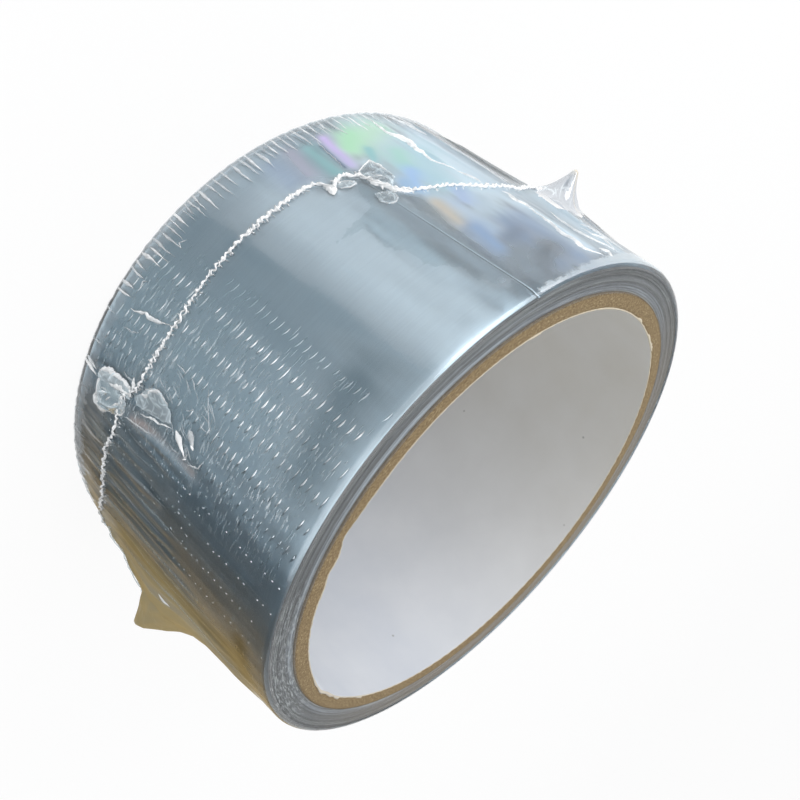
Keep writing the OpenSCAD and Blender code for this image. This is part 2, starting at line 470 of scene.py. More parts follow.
lower_rows, upper_rows, wall_rows = slit_rows(tape_floor, 1, 1), slit_rows(tape_top, -1, 0), []
rim_steps = np.array([0.15, 0.4, 0.7, 1.1, 1.6, 2.2])
wall_steps = np.concatenate([rim_steps, np.linspace(3, 47.4, 37), tape_width - rim_steps[::-1]])
for height in wall_steps * mm + tape_floor:
    near_edge = unit(1 - np.minimum(height - tape_floor, tape_top - height) / (2.8 * mm))
    ripple = 0.012 * mm * (1 + waves(turn_angles, height / mm * 0.3, 41, 11))
    dip = pressed * near_edge**2.2 + ripple
    radius = board_r + turns * tape_thickness * climb - dip - 0.3 * mm * beside_cut
    wall_rows.append(place(slanted(turn_angles, height), radius, height))
tape_rows = lower_rows + wall_rows + upper_rows[::-1]
tape_slots = [1] * len(lower_rows) + [0] * len(wall_rows) + [1] * len(upper_rows)

# Rolled foil is a soft mirror that draws each light out across its rolling lines, so the eye
# gets long bands up the roll. Film and haze over it hold its colour to a bluish grey.
foil = new_material("rolled_aluminium_foil")
foil_at, foil_xyz, foil_flat = coordinates(foil)
# Rolling lines are 0.2 mm apart here, coarser than real ones, and some 10 mm long
foil_grain = drawn_out(foil, foil_flat, 6, foil_xyz[2], 3500)
rolling = add_node(foil, "TexNoise", {
    "Scale": 1.0, "Detail": 3.0, "Roughness": 0.6, "Vector": foil_grain,
})
clouds = add_node(foil, "TexNoise", {"Scale": 70.0, "Detail": 3.0, "Vector": foil_at})
foil_tone = add_node(foil, "ValToRGB", {"stops": [(0.3, "#c1d3de"), (0.7, "#c9dbe5")], 0: rolling})
foil_rough = add_node(foil, "MapRange", {"range": (0.3, 0.7, 0.33, 0.41), "Value": clouds})
foil_bump = add_node(foil, "Bump", {"Strength": 0.08, "Distance": 0.00002, "Height": rolling})
foil_tangent = add_node(foil, "Tangent", {"direction_type": "RADIAL", "axis": "Z"})
foil_surface = add_node(foil, "BsdfPrincipled", {
    "Metallic": 1.0, "Anisotropic": 1.0, "Anisotropic Rotation": 0.25, "Base Color": foil_tone,
    "Roughness": foil_rough, "Normal": foil_bump, "Tangent": foil_tangent,
})
add_node(foil, "OutputMaterial", {"Surface": foil_surface})

# A slit edge shows each turn as a bright line of foil beside grey cloth and adhesive.
slit_edge = new_material("slit_foil_and_cloth_edge")
edge_at, edge_xyz, edge_flat = coordinates(slit_edge)
edge_out = add_node(slit_edge, "VectorMath", {"operation": "LENGTH", 0: edge_flat})
edge_radius = edge_out.outputs["Value"]
# Streaks follow the turns: about 10 mm long and 0.3 mm wide, with wider bands behind them
edge_grain = drawn_out(slit_edge, edge_flat, 4.5, edge_radius, 3000)
streaks = add_node(slit_edge, "TexNoise", {
    "Scale": 1.0, "Detail": 4.0, "Roughness": 0.6, "Vector": edge_grain,
})
bands = add_node(slit_edge, "TexNoise", {"Scale": 0.3, "Detail": 1.0, "Vector": edge_grain})
edge_sum = add_node(slit_edge, "Math", {"operation": "ADD", 0: streaks, 1: bands})
edge_half = add_node(slit_edge, "Math", {"operation": "MULTIPLY", 0: edge_sum, 1: 0.5})
edge_streak = add_node(slit_edge, "ValToRGB", {
    "stops": [(0.37, "#3c3f41"), (0.5, "#868889"), (0.62, "#d6dadb")], 0: edge_half,
})
# Where the winding ran looser or tighter, several turns together look lighter or darker
edge_share = add_node(slit_edge, "MapRange", {"range": (board_r, tape_r), "Value": edge_radius})
edge_zones = add_node(slit_edge, "ValToRGB", {
    "stops": [(0.0, "#3f3a33"), (0.025, "#b3b3ae"), (0.06, "#55585a"), (0.10, "#9ea3a8"),
              (0.19, "#a7adb4"), (0.22, "#5a5e61"), (0.27, "#9ba0a5"), (0.31, "#585c5f"),
              (0.38, "#7f8281"), (0.5, "#818487"), (0.55, "#565a5c"), (0.62, "#808382"),
              (0.74, "#8b8e8e"), (0.78, "#5f6366"), (0.83, "#8d9194"), (0.88, "#55595c"),
              (0.92, "#9ca0a4"), (0.96, "#696e71"), (1.0, "#c5cacd")],
    0: edge_share,
})
edge_tone = add_node(slit_edge, "Mix", {
    "data_type": "RGBA", "blend_type": "OVERLAY", 0: 0.68, 6: edge_zones, 7: edge_streak,
})
# Cut ends of the cloth's threads stand out as pale and dark flecks, about 2 mm long
fleck_at = drawn_out(slit_edge, edge_flat, 26, edge_radius, 4300)
flecks = add_node(slit_edge, "TexNoise", {
    "Scale": 1.0, "Detail": 2.0, "Distortion": 0.7, "Vector": fleck_at,
})
fleck_tone = add_node(slit_edge, "ValToRGB", {
    "stops": [(0.4, "#3a3f41"), (0.5, "#6d7172"), (0.57, "#9b9fa1"), (0.64, "#dde1e2")], 0: flecks,
})
# They are plainest at the front right, in patches
fleck_places = add_node(slit_edge, "TexNoise", {"Scale": 38.0, "Detail": 1.0, "Vector": edge_at})
fleck_patch = add_node(slit_edge, "MapRange", {
    "range": (0.38, 0.6, 0.35, 0.8), "Value": fleck_places,
})
fleck_right = add_node(slit_edge, "MapRange", {
    "range": (0.02, 0.032, 0.1, 1.0), "Value": edge_xyz[0],
})
fleck_front = add_node(slit_edge, "MapRange", {
    "range": (-0.018, -0.006, 1.0, 0.1), "Value": edge_xyz[1],
})
fleck_side = add_node(slit_edge, "Math", {"operation": "MINIMUM", 0: fleck_right, 1: fleck_front})
fleck_mix = add_node(slit_edge, "Math", {"operation": "MULTIPLY", 0: fleck_patch, 1: fleck_side})
flecked = add_node(slit_edge, "Mix", {
    "data_type": "RGBA", 0: fleck_mix, 6: edge_tone.outputs[2], 7: fleck_tone,
})
# Toward the back the slit edges are painted browner: a painted warm reflection of the surroundings
warm_reflection_share = add_node(slit_edge, "MapRange", {
    "range": (-0.005, 0.042, 0.0, 0.72), "Value": edge_xyz[1],
})
warm_reflected_edge = add_node(slit_edge, "Mix", {
    "data_type": "RGBA", 0: warm_reflection_share, 6: flecked.outputs[2], 7: "#877558",
})
edge_bump = add_node(slit_edge, "Bump", {"Strength": 0.5, "Distance": 0.0001, "Height": edge_half})
edge_surface = add_node(slit_edge, "BsdfPrincipled", {
    "Metallic": 0.2, "Roughness": 0.5, "Base Color": warm_reflected_edge.outputs[2], "Normal": edge_bump,
})
add_node(slit_edge, "OutputMaterial", {"Surface": edge_surface})

tape_roll = mesh_piece("tape_roll", [np.stack(tape_rows)], [foil, slit_edge], round_the_roll=True)
face_slots = np.repeat(np.maximum(tape_slots[:-1], tape_slots[1:]), len(turn_angles))
tape_roll.data.polygons.foreach_set("material_index", face_slots.astype(np.int32))
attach(tape_roll, "root")
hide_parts("tape")

# Under the foil, each crossing of the cloth's threads stands up as a short ridge along the
# tape. The rows of them are 5.6 degrees apart, and the ridges of a row 1.4 mm.
thread_pitch = 1.41 * mm
measured_rows = [-0.5, 4.7, 10.6, 16, 21.5, 27, 33.3, 38.9, 44.5, 50.5]
thread_rows = np.concatenate([measured_rows, np.linspace(56, 354, 54)])


def on_foil(angle, along, lift):
    """A point above the outside of the tape."""
    past_cut = (angle - cut_angle) % 360
    outside = board_r + turns * tape_thickness * (1 - past_cut / 360 / turns)
    return place(angle, outside + lift, along)


def ridge(lay, angles, alongs, width, height, shape=(0, 0.75, 1, 0.75, 0)):
    """A ridge along a path on the roll that tapers to both ends, as a grid of points."""
    steps = len(angles)
    taper = np.sin(np.linspace(0, math.pi, steps)) ** 0.6
    forward = np.gradient(angles) * np.radians(1) * tape_r, np.gradient(alongs)
    size = np.hypot(*forward) + 1e-12
    across = np.linspace(-0.5, 0.5, len(shape))[:, None] * width * taper
    sideways = -forward[1] / size * across, forward[0] / size * across
    lifts = np.array(shape)[:, None] * height * taper
    return lay(angles + np.degrees(sideways[0] / tape_r), alongs + sideways[1], lifts)


def relief(angle, z, seal):
    """How far the threads show. The foil is pressed flat beside the cut end and at the front."""
    angle = (angle + 180) % 360 - 180
    if -62 < angle < -2.5:
        return 0.0
    if -2.5 <= angle < 2.5:
        return 0.4 if z > seal + 2 else 0.0
    if 2.5 <= angle < 24:
        return 1.0
    return 0.6 if 24 <= angle < 30 else 0.45


rng = np.random.default_rng(5)
dashes, rubbed = [], []
# Across a ridge: a steep side that faces down, the crest, and a long side that mirrors the room
across_ridge = (0, 1, 0.8, 0.45, 0)
# Painted shade and highlight across a ridge: darker toward its two edges, lightest on the crest
crest = np.array([0.3, 0.8, 1.0, 1.0, 0.6])[:, None]
for middle in thread_rows:
    dots = 30 < middle < 56
    for number in range(36):
        z = 49.1 - thread_pitch / mm * number
        shown = relief(middle, z, 14 + 6 * (middle > 70))
        if shown == 0 or rng.random() < (0.2 if dots else 0.06) or z < (12 if dots else 1.5):
            continue
        half = rng.uniform(0.95, 1.6) * (rng.uniform(0.14, 0.34) if dots else 1)
        half = half * (0.6 + 0.4 * shown)
        centre = middle + rng.normal(0, 0.15)
        height = tape_floor + (z + rng.normal(0, 0.08)) * mm
        angles = np.linspace(centre - half, centre + half, 7)
        bow = np.linspace(0.2, -0.2, 7) + 0.1 * np.cos(np.linspace(-1.5, 1.5, 7))
        rise = bow * mm * (0.3 if dots else 1)
        width = rng.uniform(0.24, 0.38) * mm * (1.4 if dots else 1)
        tall = rng.uniform(0.09, 0.13) * mm * shown**0.5 * (1.3 if dots else 1)
        dashes.append(ridge(on_foil, angles, height + rise, width, tall, across_ridge))
        # How strong the painted highlight on this ridge is
        dash_shine = 1 if dots else rng.uniform(0.8, 1.0) * (0.4 + 0.6 * shown)
        rubbed.append(0 * dashes[-1][..., 0] + crest * dash_shine)
# Between the rows, threads of the cloth show as fainter and finer strokes
for _ in range(460):
    centre, z = rng.uniform(-2, 34), rng.uniform(2.5, 49)
    half = rng.uniform(0.25, 1.3)
    angles = np.linspace(centre - half, centre + half, 6)
    rise = np.linspace(0.06, -0.06, 6) * half * mm
    tall, width = rng.uniform(0.02, 0.04) * mm, rng.uniform(0.12, 0.2) * mm
    dashes.append(ridge(on_foil, angles, z * mm + rise, width, tall, across_ridge))
    rubbed.append(0 * dashes[-1][..., 0] + crest * rng.uniform(0.3, 0.6))
# Specks of grit and glue under the film, where it was drawn together
for _ in range(150):
    centre, z = rng.uniform(19, 46), rng.uniform(8, 33)
    way = rng.uniform(0, math.pi)
    reach = rng.uniform(0.08, 0.3) * mm
    angles = centre + np.degrees(np.linspace(-reach, reach, 5) * math.cos(way) / tape_r)
    alongs = z * mm + np.linspace(-reach, reach, 5) * math.sin(way)
    dashes.append(ridge(on_foil, angles, alongs, rng.uniform(0.18, 0.34) * mm, 0.08 * mm))
    rubbed.append(0 * dashes[-1][..., 0] + crest * rng.uniform(0.4, 1.0))

# The crowns of the threads are pressed smooth by the film, and mirror the room as white glints.
# Their colour holds a painted shade at the edges of each ridge and a painted highlight on its
# crest, strongest where the threads show most.
crown = new_material("foil_over_thread_crowns")
crown_at = add_node(crown, "TexCoord").outputs["Object"]
crown_shading = add_node(crown, "Attribute", {"attribute_name": "rubbed"}).outputs["Fac"]
crown_noise = add_node(crown, "TexNoise", {"Scale": 400.0, "Detail": 2.0, "Vector": crown_at})
crown_painted_light = add_node(crown, "Math", {
    "operation": "MULTIPLY_ADD", 0: crown_noise, 1: 0.3, 2: crown_shading,
})
crown_tone = add_node(crown, "ValToRGB", {
    "stops": [(0.26, "#6f818c"), (0.42, "#a9bbc6"), (0.7, "#e2edf3"), (0.95, "#ffffff")],
    0: crown_painted_light,
})
crown_surface = add_node(crown, "BsdfPrincipled", {
    "Metallic": 1.0, "Roughness": 0.16, "Base Color": crown_tone,
})
add_node(crown, "OutputMaterial", {"Surface": crown_surface})

thread_ridges = mesh_piece("thread_ridges", dashes, [crown])
paint(thread_ridges, "rubbed", rubbed)
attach(thread_ridges, "root")

# The wrap is a tube of clear polyolefin film, sealed along a line and shrunk with hot air. It
# lies tight on the foil, turns in over both ends and gathers where it had to shrink most.
film_r = tape_r + 0.22 * mm  # the film and the air under it
film_bend = 1.0 * mm  # how tightly it bends over a rim
right_web, left_web = 78, -70  # the angles at which the film stands off
film_hole = 4.6 * mm  # how far the film turns in over an end
# The seal: angle from the front and height in millimetres
SEAL = np.array([
    [-180, 25], [-110, 31], [-84, 32.5], [-70, 31.2], [-63, 28.4], [-58.7, 29.0], [-55.5, 28.1],
    [-52.4, 27.9], [-49.3, 27.4], [-46.2, 26.6], [-43.2, 25.6], [-40, 25.0], [-38, 24.7],
    [-36.5, 24.2], [-35, 23.2], [-33.8, 22.2], [-33.2, 20.8], [-32.4, 19.2], [-32.1, 17.8],
    [-31.6, 16.8], [-30.3, 15.8], [-29, 15.0], [-27, 15.6], [-26, 16.5], [-25.3, 15.2],
    [-24.2, 14.0], [-23, 13.7], [-20, 13.5], [-5, 13.6], [10, 14.3], [15, 14.3], [20, 13.9],
    [24.3, 13.7], [26, 13.0], [27.4, 11.9], [29, 11.3], [31.5, 11.3], [33.5, 11.7], [36, 11.9],
    [38.5, 11.2], [41.6, 10.7], [46.8, 10.5], [51, 10.2], [56, 9.0], [62, 7.0], [66, 6.9],
    [70, 8.6], [76, 17.7], [78, 18.8], [86, 20], [120, 21.5], [180, 25],
])


def seal_height(angle):
    """How high the seal runs, in metres."""
    return np.interp(angle, *SEAL.T) * mm


def falling(distance, reach, power):
    """From 1 at no distance to 0 at the reach."""
    return unit(1 - abs(distance) / reach) ** power


def stand_off(angle, height):
    """How far the film stands off the foil where it bridges to a tab of the seal."""
    z = height / mm
    right = np.interp(
        z, [0, 5.7, 11, 14.3, 16.5, 18.5, 21, 24.4, 28.5, 33.5, 38.2, 50.8],
        [0, 1.3, 1.9, 2.8, 3.5, 4.4, 4.9, 4.1, 2.1, 1.1, 0.6, 0],
    )
    left = np.interp(
        z, [0, 12, 22, 25, 28, 31, 33, 36, 39, 42, 50.8],
        [0, 0.1, 0.2, 0.4, 1.3, 2.0, 1.6, 1.0, 0.5, 0.2, 0],
    )
    right = right * falling(angle - right_web, 19, 1.5)
    left = left * falling(angle - left_web, 15, 1.7)
    return (right + left) * mm


# Long wrinkles up the film: angle, first and last height in mm, width in degrees, height in mm
WRINKLES = [
    (27.6, 2, 13, 0.7, 0.3), (30.4, 12, 29, 1.1, 0.45), (33.0, 16, 30, 0.6, 0.2),
    (35.2, 8, 25, 0.7, 0.35), (37.1, 4, 24, 0.6, 0.3), (38.8, 2, 18, 0.5, 0.2),
    (40.6, 3, 25, 1.2, 0.5), (43.0, 5, 26, 0.6, 0.3), (45.0, 7, 29, 0.8, 0.4),
    (46.6, 2, 20, 0.5, 0.25), (48.1, 3, 30, 0.8, 0.4), (50.4, 5, 33, 0.7, 0.4),
    (52.6, 3, 30, 0.9, 0.4), (54.8, 4, 36, 0.7, 0.4), (57.0, 2, 38, 1.0, 0.45),
    (59.6, 3, 42, 0.9, 0.4), (62.4, 2, 44, 1.1, 0.5), (65.5, 2, 46, 1.3, 0.5),
    (69.0, 2, 46, 1.3, 0.5), (73.0, 3, 47, 1.5, 0.5), (-24.5, 24, 31, 0.6, 0.15),
    (-49.8, 3, 24, 0.8, 0.35), (-52.6, 32, 46, 0.9, 0.35), (-55.0, 4, 26, 0.6, 0.2),
    (-59.6, 2, 27, 1.0, 0.4), (-63.5, 30, 46, 1.0, 0.35), (-66.0, 5, 29, 0.9, 0.35),
    (-73.0, 4, 44, 1.2, 0.4), (-79.0, 8, 46, 1.2, 0.35), (84.0, 4, 45, 1.4, 0.5),
    (95.0, 3, 40, 1.2, 0.3), (-92.0, 6, 40, 1.2, 0.3),
]


def between(value, low, high, rise, fall):
    """From 0 at low to 1 over the rise, and from 1 back to 0 at high over the fall."""
    return unit((value - low) / rise) * unit((high - value) / fall)


def wrinkled(angle, height):
    """How far the film stands up in its long wrinkles."""
    z, total = height / mm, 0
    for middle, low, high, width, rise in WRINKLES:
        line = middle + 0.35 * np.sin(z * 0.21 + middle) + 0.12 * np.sin(z * 0.9 + 3 * middle)
        total = total + rise * between(z, low, high, 4, 6) * bell(angle - line, width)
    return total * mm


def on_film(angle, along, lift):
    """A point of the film. Along runs up the wall, and beyond 0 and the roll's height it
    goes on over the rounded rims and in across the ends, where nothing lifts off it."""
    middle = roll_height / 2
    side = np.sign(along - middle)
    out = abs(along - middle)
    beyond = np.clip(out - (middle - film_bend), 0, None)
    turn = np.clip(beyond / film_bend, 0, math.pi / 2)
    inward = np.clip(beyond - film_bend * math.pi / 2, 0, None)
    rise = (film_bend + lift * (1 - np.sin(turn))) * np.sin(turn)
    height = middle + side * (np.minimum(out, middle - film_bend) + rise)
    off_wall = (stand_off(angle, height) + wrinkled(angle, height)) * np.cos(turn)
    out_from_bend = (film_bend + lift) * np.cos(turn) - inward + off_wall
    return place(angle, film_r - film_bend + out_from_bend, height)


film_columns = np.linspace(-180, 180, 900, endpoint=False)[None]
seal_line = seal_height(film_columns)
over_end = np.linspace(-film_hole, -0.75 * mm, 5)[:, None]
over_rim = np.linspace(-0.55, 0.98, 8)[:, None] * film_bend
up_wall = np.linspace(0, 1, 36)[:, None]
low_wall = film_bend + (seal_line - film_bend) * up_wall
high_wall = seal_line + (roll_height - film_bend - seal_line) * up_wall[1:]
ends = np.concatenate([over_end, over_rim]) + 0 * film_columns
film_along = np.concatenate([ends, low_wall, high_wall, roll_height - ends[::-1]])
angles = film_columns + 0 * film_along
drawn_up = 0.3 * mm * bell(film_along - seal_line, 0.7 * mm)
near_low_rim = bell(film_along - 1.0 * mm, 3.2 * mm) * (film_along > -0.5 * mm)
pucker = 0.08 * mm * near_low_rim * (1 + waves(angles, film_along / mm * 0.4, 51, 3.4, 0.6))
slack = 0.03 * mm * (1 + waves(angles, film_along / mm * 0.35, 52, 7, 0.8))
on_wall = (film_along > film_bend) & (film_along < roll_height - film_bend)
film_lift = drawn_up * on_wall + pucker + slack * on_wall

# Where stress and trapped air colour or whiten the film, and where shade, highlights and
# reflections of the surroundings are painted on it: a line of points (angle, height), the
# width in mm, the colour that shows and how much of the foil it hides
PATCHES = [
    ([(-46, 5), (-43, 13), (-44, 24)], 6.5, "#cde6ef", 0.62),
    # A painted dark reflection up the left side
    ([(-69.5, 8), (-70, 27)], 1.5, "#566874", 0.42),
    ([(-69, 37.5), (-68, 46)], 1.4, "#667b8d", 0.4),
    ([(-56.5, 8), (-54, 28)], 4.2, "#cbdfee", 0.55),
    ([(-60.7, 3), (-60.7, 21)], 1.1, "#8696a0", 0.65),
    ([(-62, 32), (-61, 47)], 4.2, "#bed2df", 0.62),
    # Painted shade high up on the left
    ([(-48.5, 36), (-48, 47)], 3.6, "#96abc6", 0.6),
    ([(-44, 36), (-42, 47)], 3.0, "#7f93ad", 0.72),
    ([(-53, 12), (-51, 22), (-47, 29.5)], 4.0, "#d5e9f5", 0.68),
    ([(-53.7, 33), (-52.8, 46)], 1.8, "#cfe2ef", 0.7),
    ([(-46.5, 30), (-43, 32.5)], 2.3, "#c3d6e3", 0.6),
    ([(-39.5, 28), (-39.3, 37)], 2.2, "#cbdded", 0.6),
    ([(-21, 16), (-20, 44)], 6.0, "#e0edf4", 0.2),
    # Painted light, lifting the shade beside the cut end
    ([(-30.6, 24), (-30.6, 45)], 1.6, "#b3c3cf", 0.5),
    ([(-28, 5), (-28, 12)], 3.0, "#c3cfe0", 0.35),
    # Painted shade high up at the front
    ([(-2, 43), (15, 45)], 5.0, "#6b7e89", 0.3),
    # Painted shade near the upper rim on the right
    ([(52, 45), (63, 45)], 3.0, "#5d553f", 0.35),
    ([(-30, 6), (-3, 6)], 5.0, "#a3b5c1", 0.25),
    # Pastel stress colours, painted as iridescent reflections
    ([(-47, 6), (-42, 8), (-37, 10)], 3.4, "#c8ecd6", 0.68),
    ([(-40, 6.5), (-36.5, 9.5)], 2.3, "#afe2bd", 0.8),
    ([(-50, 14), (-46, 18), (-43, 24)], 3.4, "#bfe2ee", 0.62),
    ([(-44, 14), (-41.5, 18)], 1.8, "#b9eae0", 0.6),
    ([(-41, 19.5), (-37.5, 23.5)], 1.8, "#a6c8ee", 0.72),
    ([(-39.5, 11.5), (-37.5, 14.5)], 0.9, "#97cdd0", 0.7),
    ([(-34.8, 5.5), (-33.8, 9), (-33, 13.5)], 1.2, "#d0bdee", 0.78),
    ([(-30, 6.5), (-29.5, 13.5)], 1.8, "#97cdd0", 0.5),
    ([(-32.6, 7), (-31.5, 13.5)], 0.3, "#5f7890", 0.5),
    ([(-27, 5.5), (-25.5, 11)], 1.6, "#c2bdd0", 0.4),
    ([(-22.5, 6), (-22, 11)], 1.8, "#a9bcdc", 0.3),
    ([(-44, 27.5), (-42.5, 29.5)], 1.6, "#b8cef0", 0.6),
    ([(-37.3, 28), (-36.4, 33.5)], 1.3, "#cfc7b9", 0.65),
    ([(-37.6, 35.5), (-36.6, 41)], 1.9, "#a0bce0", 0.55),
    ([(-35.8, 14), (-35.6, 20)], 1.2, "#d3e4ee", 0.6),
    ([(-37.2, 21.5), (-36, 23)], 1.2, "#a9cdf0", 0.6),
    ([(19, 17), (25, 23)], 3.2, "#c3d3dc", 0.28),
    ([(30.4, 13.5), (29.5, 17)], 1.3, "#98a5ad", 0.5),
    ([(30.6, 14.6), (29.6, 17), (28.9, 20.5), (29.0, 24.9), (29.3, 29)], 0.7, "#b9a39b", 0.75),
    # A painted shadow beside the fold at the knot on the right
    ([(27.3, 16), (26.5, 20), (26.9, 22.5), (28.2, 24.5)], 0.6, "#586a75", 0.8),
    ([(21.4, 12.0), (24.2, 12.3)], 0.75, "#55676f", 0.85),
    ([(34, 14), (36, 24)], 2.2, "#7d8990", 0.3),
    ([(41, 13), (41, 24)], 0.7, "#8f8578", 0.4),
    ([(43.4, 13), (43.3, 23)], 0.6, "#41525a", 0.4),
    ([(36, 4), (52, 4)], 3.0, "#7c7a74", 0.5),
    # Painted warm reflections of brown surroundings, on the right and on the web
    ([(62, 14), (60, 43)], 5.0, "#ad9760", 0.5),
    ([(76, 6), (74, 24), (77, 42)], 9.0, "#c2ad7a", 0.78),
    ([(-36, 47), (-45, 44)], 2.4, "#b3bfca", 0.2),
    ([(-40, 40), (-44, 39)], 1.5, "#8e9fb5", 0.5),
    ([(-36, 46), (-38.5, 43)], 2.0, "#9fadb8", 0.45),
    ([(35, 6), (44, 7)], 3.0, "#9ba1a5", 0.5),
    ([(53, 4), (55, 9)], 1.8, "#c9cccd", 0.5),
    ([(58, 5), (64, 8)], 2.8, "#cabfa8", 0.68),
    ([(5, 20), (24, 24)], 5.5, "#b4c8d2", 0.16),
    ([(6, 8), (22, 8)], 5.0, "#b9cbd4", 0.16),
]
# Where the film has wetted out on the foil beside the cut end, and no air is left under it
WETTED = [
    (-33.2, 46), (-30, 46), (-28.5, 45.5), (-28.7, 43.8), (-27.5, 43.5), (-27.5, 41.3), (-28, 41),
    (-27, 39), (-25, 38), (-24.5, 37.5), (-24.3, 35), (-24.5, 33), (-23.5, 32.5), (-22.8, 31),
    (-22.3, 30.5), (-22.7, 28.5), (-23, 25.6), (-20.5, 25.3), (-17, 25), (-22.7, 23.9), (-25, 23.5),
    (-27.8, 23), (-28.6, 20.2), (-29.4, 18), (-31, 17.4), (-33, 21), (-33.2, 33),
]
# Frost on the shoulder of the upper rim, below which it ends in a ragged line
FROST = np.array([[-180, 56], [-80, 54], [-74, 49], [-66, 47.2], [-56, 48.6], [-50, 49],
                  [-44, 49.4], [-40, 49.6], [-36, 49.5], [-33.5, 50], [-32, 52], [180, 56]])


def apart(angle, height, line):
    """Distance in mm on the film from a line of points (angle, height in mm)."""
    scale = np.radians(1) * film_r / mm
    x, y = angle * scale, height
    path = [(a * scale, z) for a, z in line]
    nearest = np.full(np.shape(x + y), 1e9)
    for (x0, y0), (x1, y1) in zip(path, path[1:]):
        length = (x1 - x0) ** 2 + (y1 - y0) ** 2 + 1e-9
        along = unit(((x - x0) * (x1 - x0) + (y - y0) * (y1 - y0)) / length)
        off = np.hypot(x - x0 - along * (x1 - x0), y - y0 - along * (y1 - y0))
        nearest = np.minimum(nearest, off)
    return nearest


def inside(angle, height, outline):
    """Distance in mm from an outline, above 0 within it and below 0 outside."""
    within = np.zeros(angle.shape, bool)
    for (a0, z0), (a1, z1) in zip(outline, outline[1:] + outline[:1]):
        if z0 != z1:
            crosses = a0 + (height - z0) / (z1 - z0) * (a1 - a0)
            within ^= ((z0 > height) != (z1 > height)) & (angle < crosses)
    return np.where(within, 1, -1) * apart(angle, height, outline + outline[:1])


def toward(tint, colour, share):
    """A painted colour, moved toward another one by a share."""
    return tint + (np.array(linear(colour)) - tint) * np.asarray(share)[..., None]


film_z = film_along / mm
roll_top = roll_height / mm
haze = 0.05 + 0.02 * waves(angles, film_z * 0.3, 61, 9)
tint = np.zeros(angles.shape + (4,)) + linear("#dfe9ef")
uneven = 1 + 0.18 * waves(angles, film_z * 0.5, 62, 6) + 0.1 * waves(angles, film_z * 1.4, 63, 2.5)
for line, width, colour, strength in PATCHES:
    weight = bell(apart(angles, film_z, line), width * uneven)
    haze = haze + (strength - haze) * weight
    tint = toward(tint, colour, weight)
wet = np.clip(inside(angles, film_z, WETTED), -5, 5)
haze = haze * (1 - 0.35 * unit(wet / 0.8))
# On the right, the stretched film runs in long narrow streaks, painted pale and dark by turns:
# painted warm reflections on its wrinkles and painted shade between them
streak = waves(angles, film_z * 0.10, 64, 2.1) + 0.6 * waves(angles, film_z * 0.22, 65, 4.5)
streaked = between(angles, 31, 100, 8, 10) * unit((film_z - 2) / 4)
streaked = streaked * (0.3 + 0.7 / (1 + np.exp((film_z - seal_line / mm - 3) / 1.5)))
streaked = streaked * np.clip((78 - angles) / 18, 0.35, 1)
painted_streak_light = np.where(streak[..., None] > 0, linear("#b0a791"), linear("#4d4e4a"))
haze = haze + streaked * 0.2 * np.abs(streak) ** 0.8
tint = tint + (painted_streak_light - tint) * (0.6 * streaked * unit(1.3 - haze))[..., None]
# Over the lower rim the gathered film is doubled and pale, and over the two ends it is clear
rim_white = 0.45 * bell(film_z - 0.8, 1.5) * np.clip((20 - angles) / 20, 0.1, 1)
rim_white = rim_white * unit((film_z + 0.3) / 0.9)
tint = toward(tint, "#dbe6ed", rim_white / (rim_white + haze))
haze = np.maximum(haze, rim_white)
on_side = (film_z > -0.6) * unit((roll_top + 0.2 - film_z) / 0.9)
haze = 0.02 + (np.clip(haze, 0, 0.9) - 0.02) * on_side
# It is drawn so taut round that rim that it mirrors the floor, and on the ends it has wetted out
taut = 7 * bell(film_z - 0.1, 0.55) * np.clip((16 - angles) / 8, 0.25, 1)
taut = np.where((film_z < -0.8) | (film_z > roll_top + 0.6), -0.65, taut)
scuffed = between(angles, 1, 36, 5, 6) * between(film_z, 1.5, 49, 3, 3)
scuffed = scuffed * (0.42 + 0.2 * waves(angles, film_z * 0.3, 66, 8))
above_line = np.clip(film_z - np.interp(angles, *FROST.T), -5, 5)
frost = np.where(film_z < roll_top - 0.3, above_line, -5)

# Clear polyolefin film passes the foil's colour through a glossy skin with sharp glints, and
# stress leaves it milky or faintly iridescent. Where shade, highlights and reflections are
# painted on it, its body shows their colours over the foil.
clear_film = new_material("clear_polyolefin_film")
film_at, film_xyz, film_flat = coordinates(clear_film)
film_tint = add_node(clear_film, "Attribute", {"attribute_name": "tint"}).outputs["Color"]
amount = {}
for name in ("haze", "wet", "frost", "scuffed", "taut"):
    told = add_node(clear_film, "Attribute", {"attribute_name": name})
    amount[name] = told.outputs["Fac"]
crinkle = add_node(clear_film, "TexNoise", {
    "Scale": 260.0, "Detail": 4.0, "Roughness": 0.6, "Vector": film_at,
})
film_bump = add_node(clear_film, "Bump", {"Strength": 0.35, "Distance": 0.0002, "Height": crinkle})
# Noise frays the edges of the frost and of the wetted patch, which lie at 5 in what is painted
ragged = add_node(clear_film, "TexNoise", {
    "Scale": 800.0, "Detail": 4.0, "Roughness": 0.7, "Vector": film_at,
})
frost_line = add_node(clear_film, "Math", {
    "operation": "MULTIPLY_ADD", 0: ragged, 1: 2.4, 2: amount["frost"],
})
frosted = add_node(clear_film, "MapRange", {"range": (6.05, 6.6, 0.0, 0.52), "Value": frost_line})
wet_line = add_node(clear_film, "Math", {
    "operation": "MULTIPLY_ADD", 0: ragged, 1: 2.2, 2: amount["wet"],
})
wetted = add_node(clear_film, "MapRange", {"range": (6.05, 6.15), "Value": wet_line})
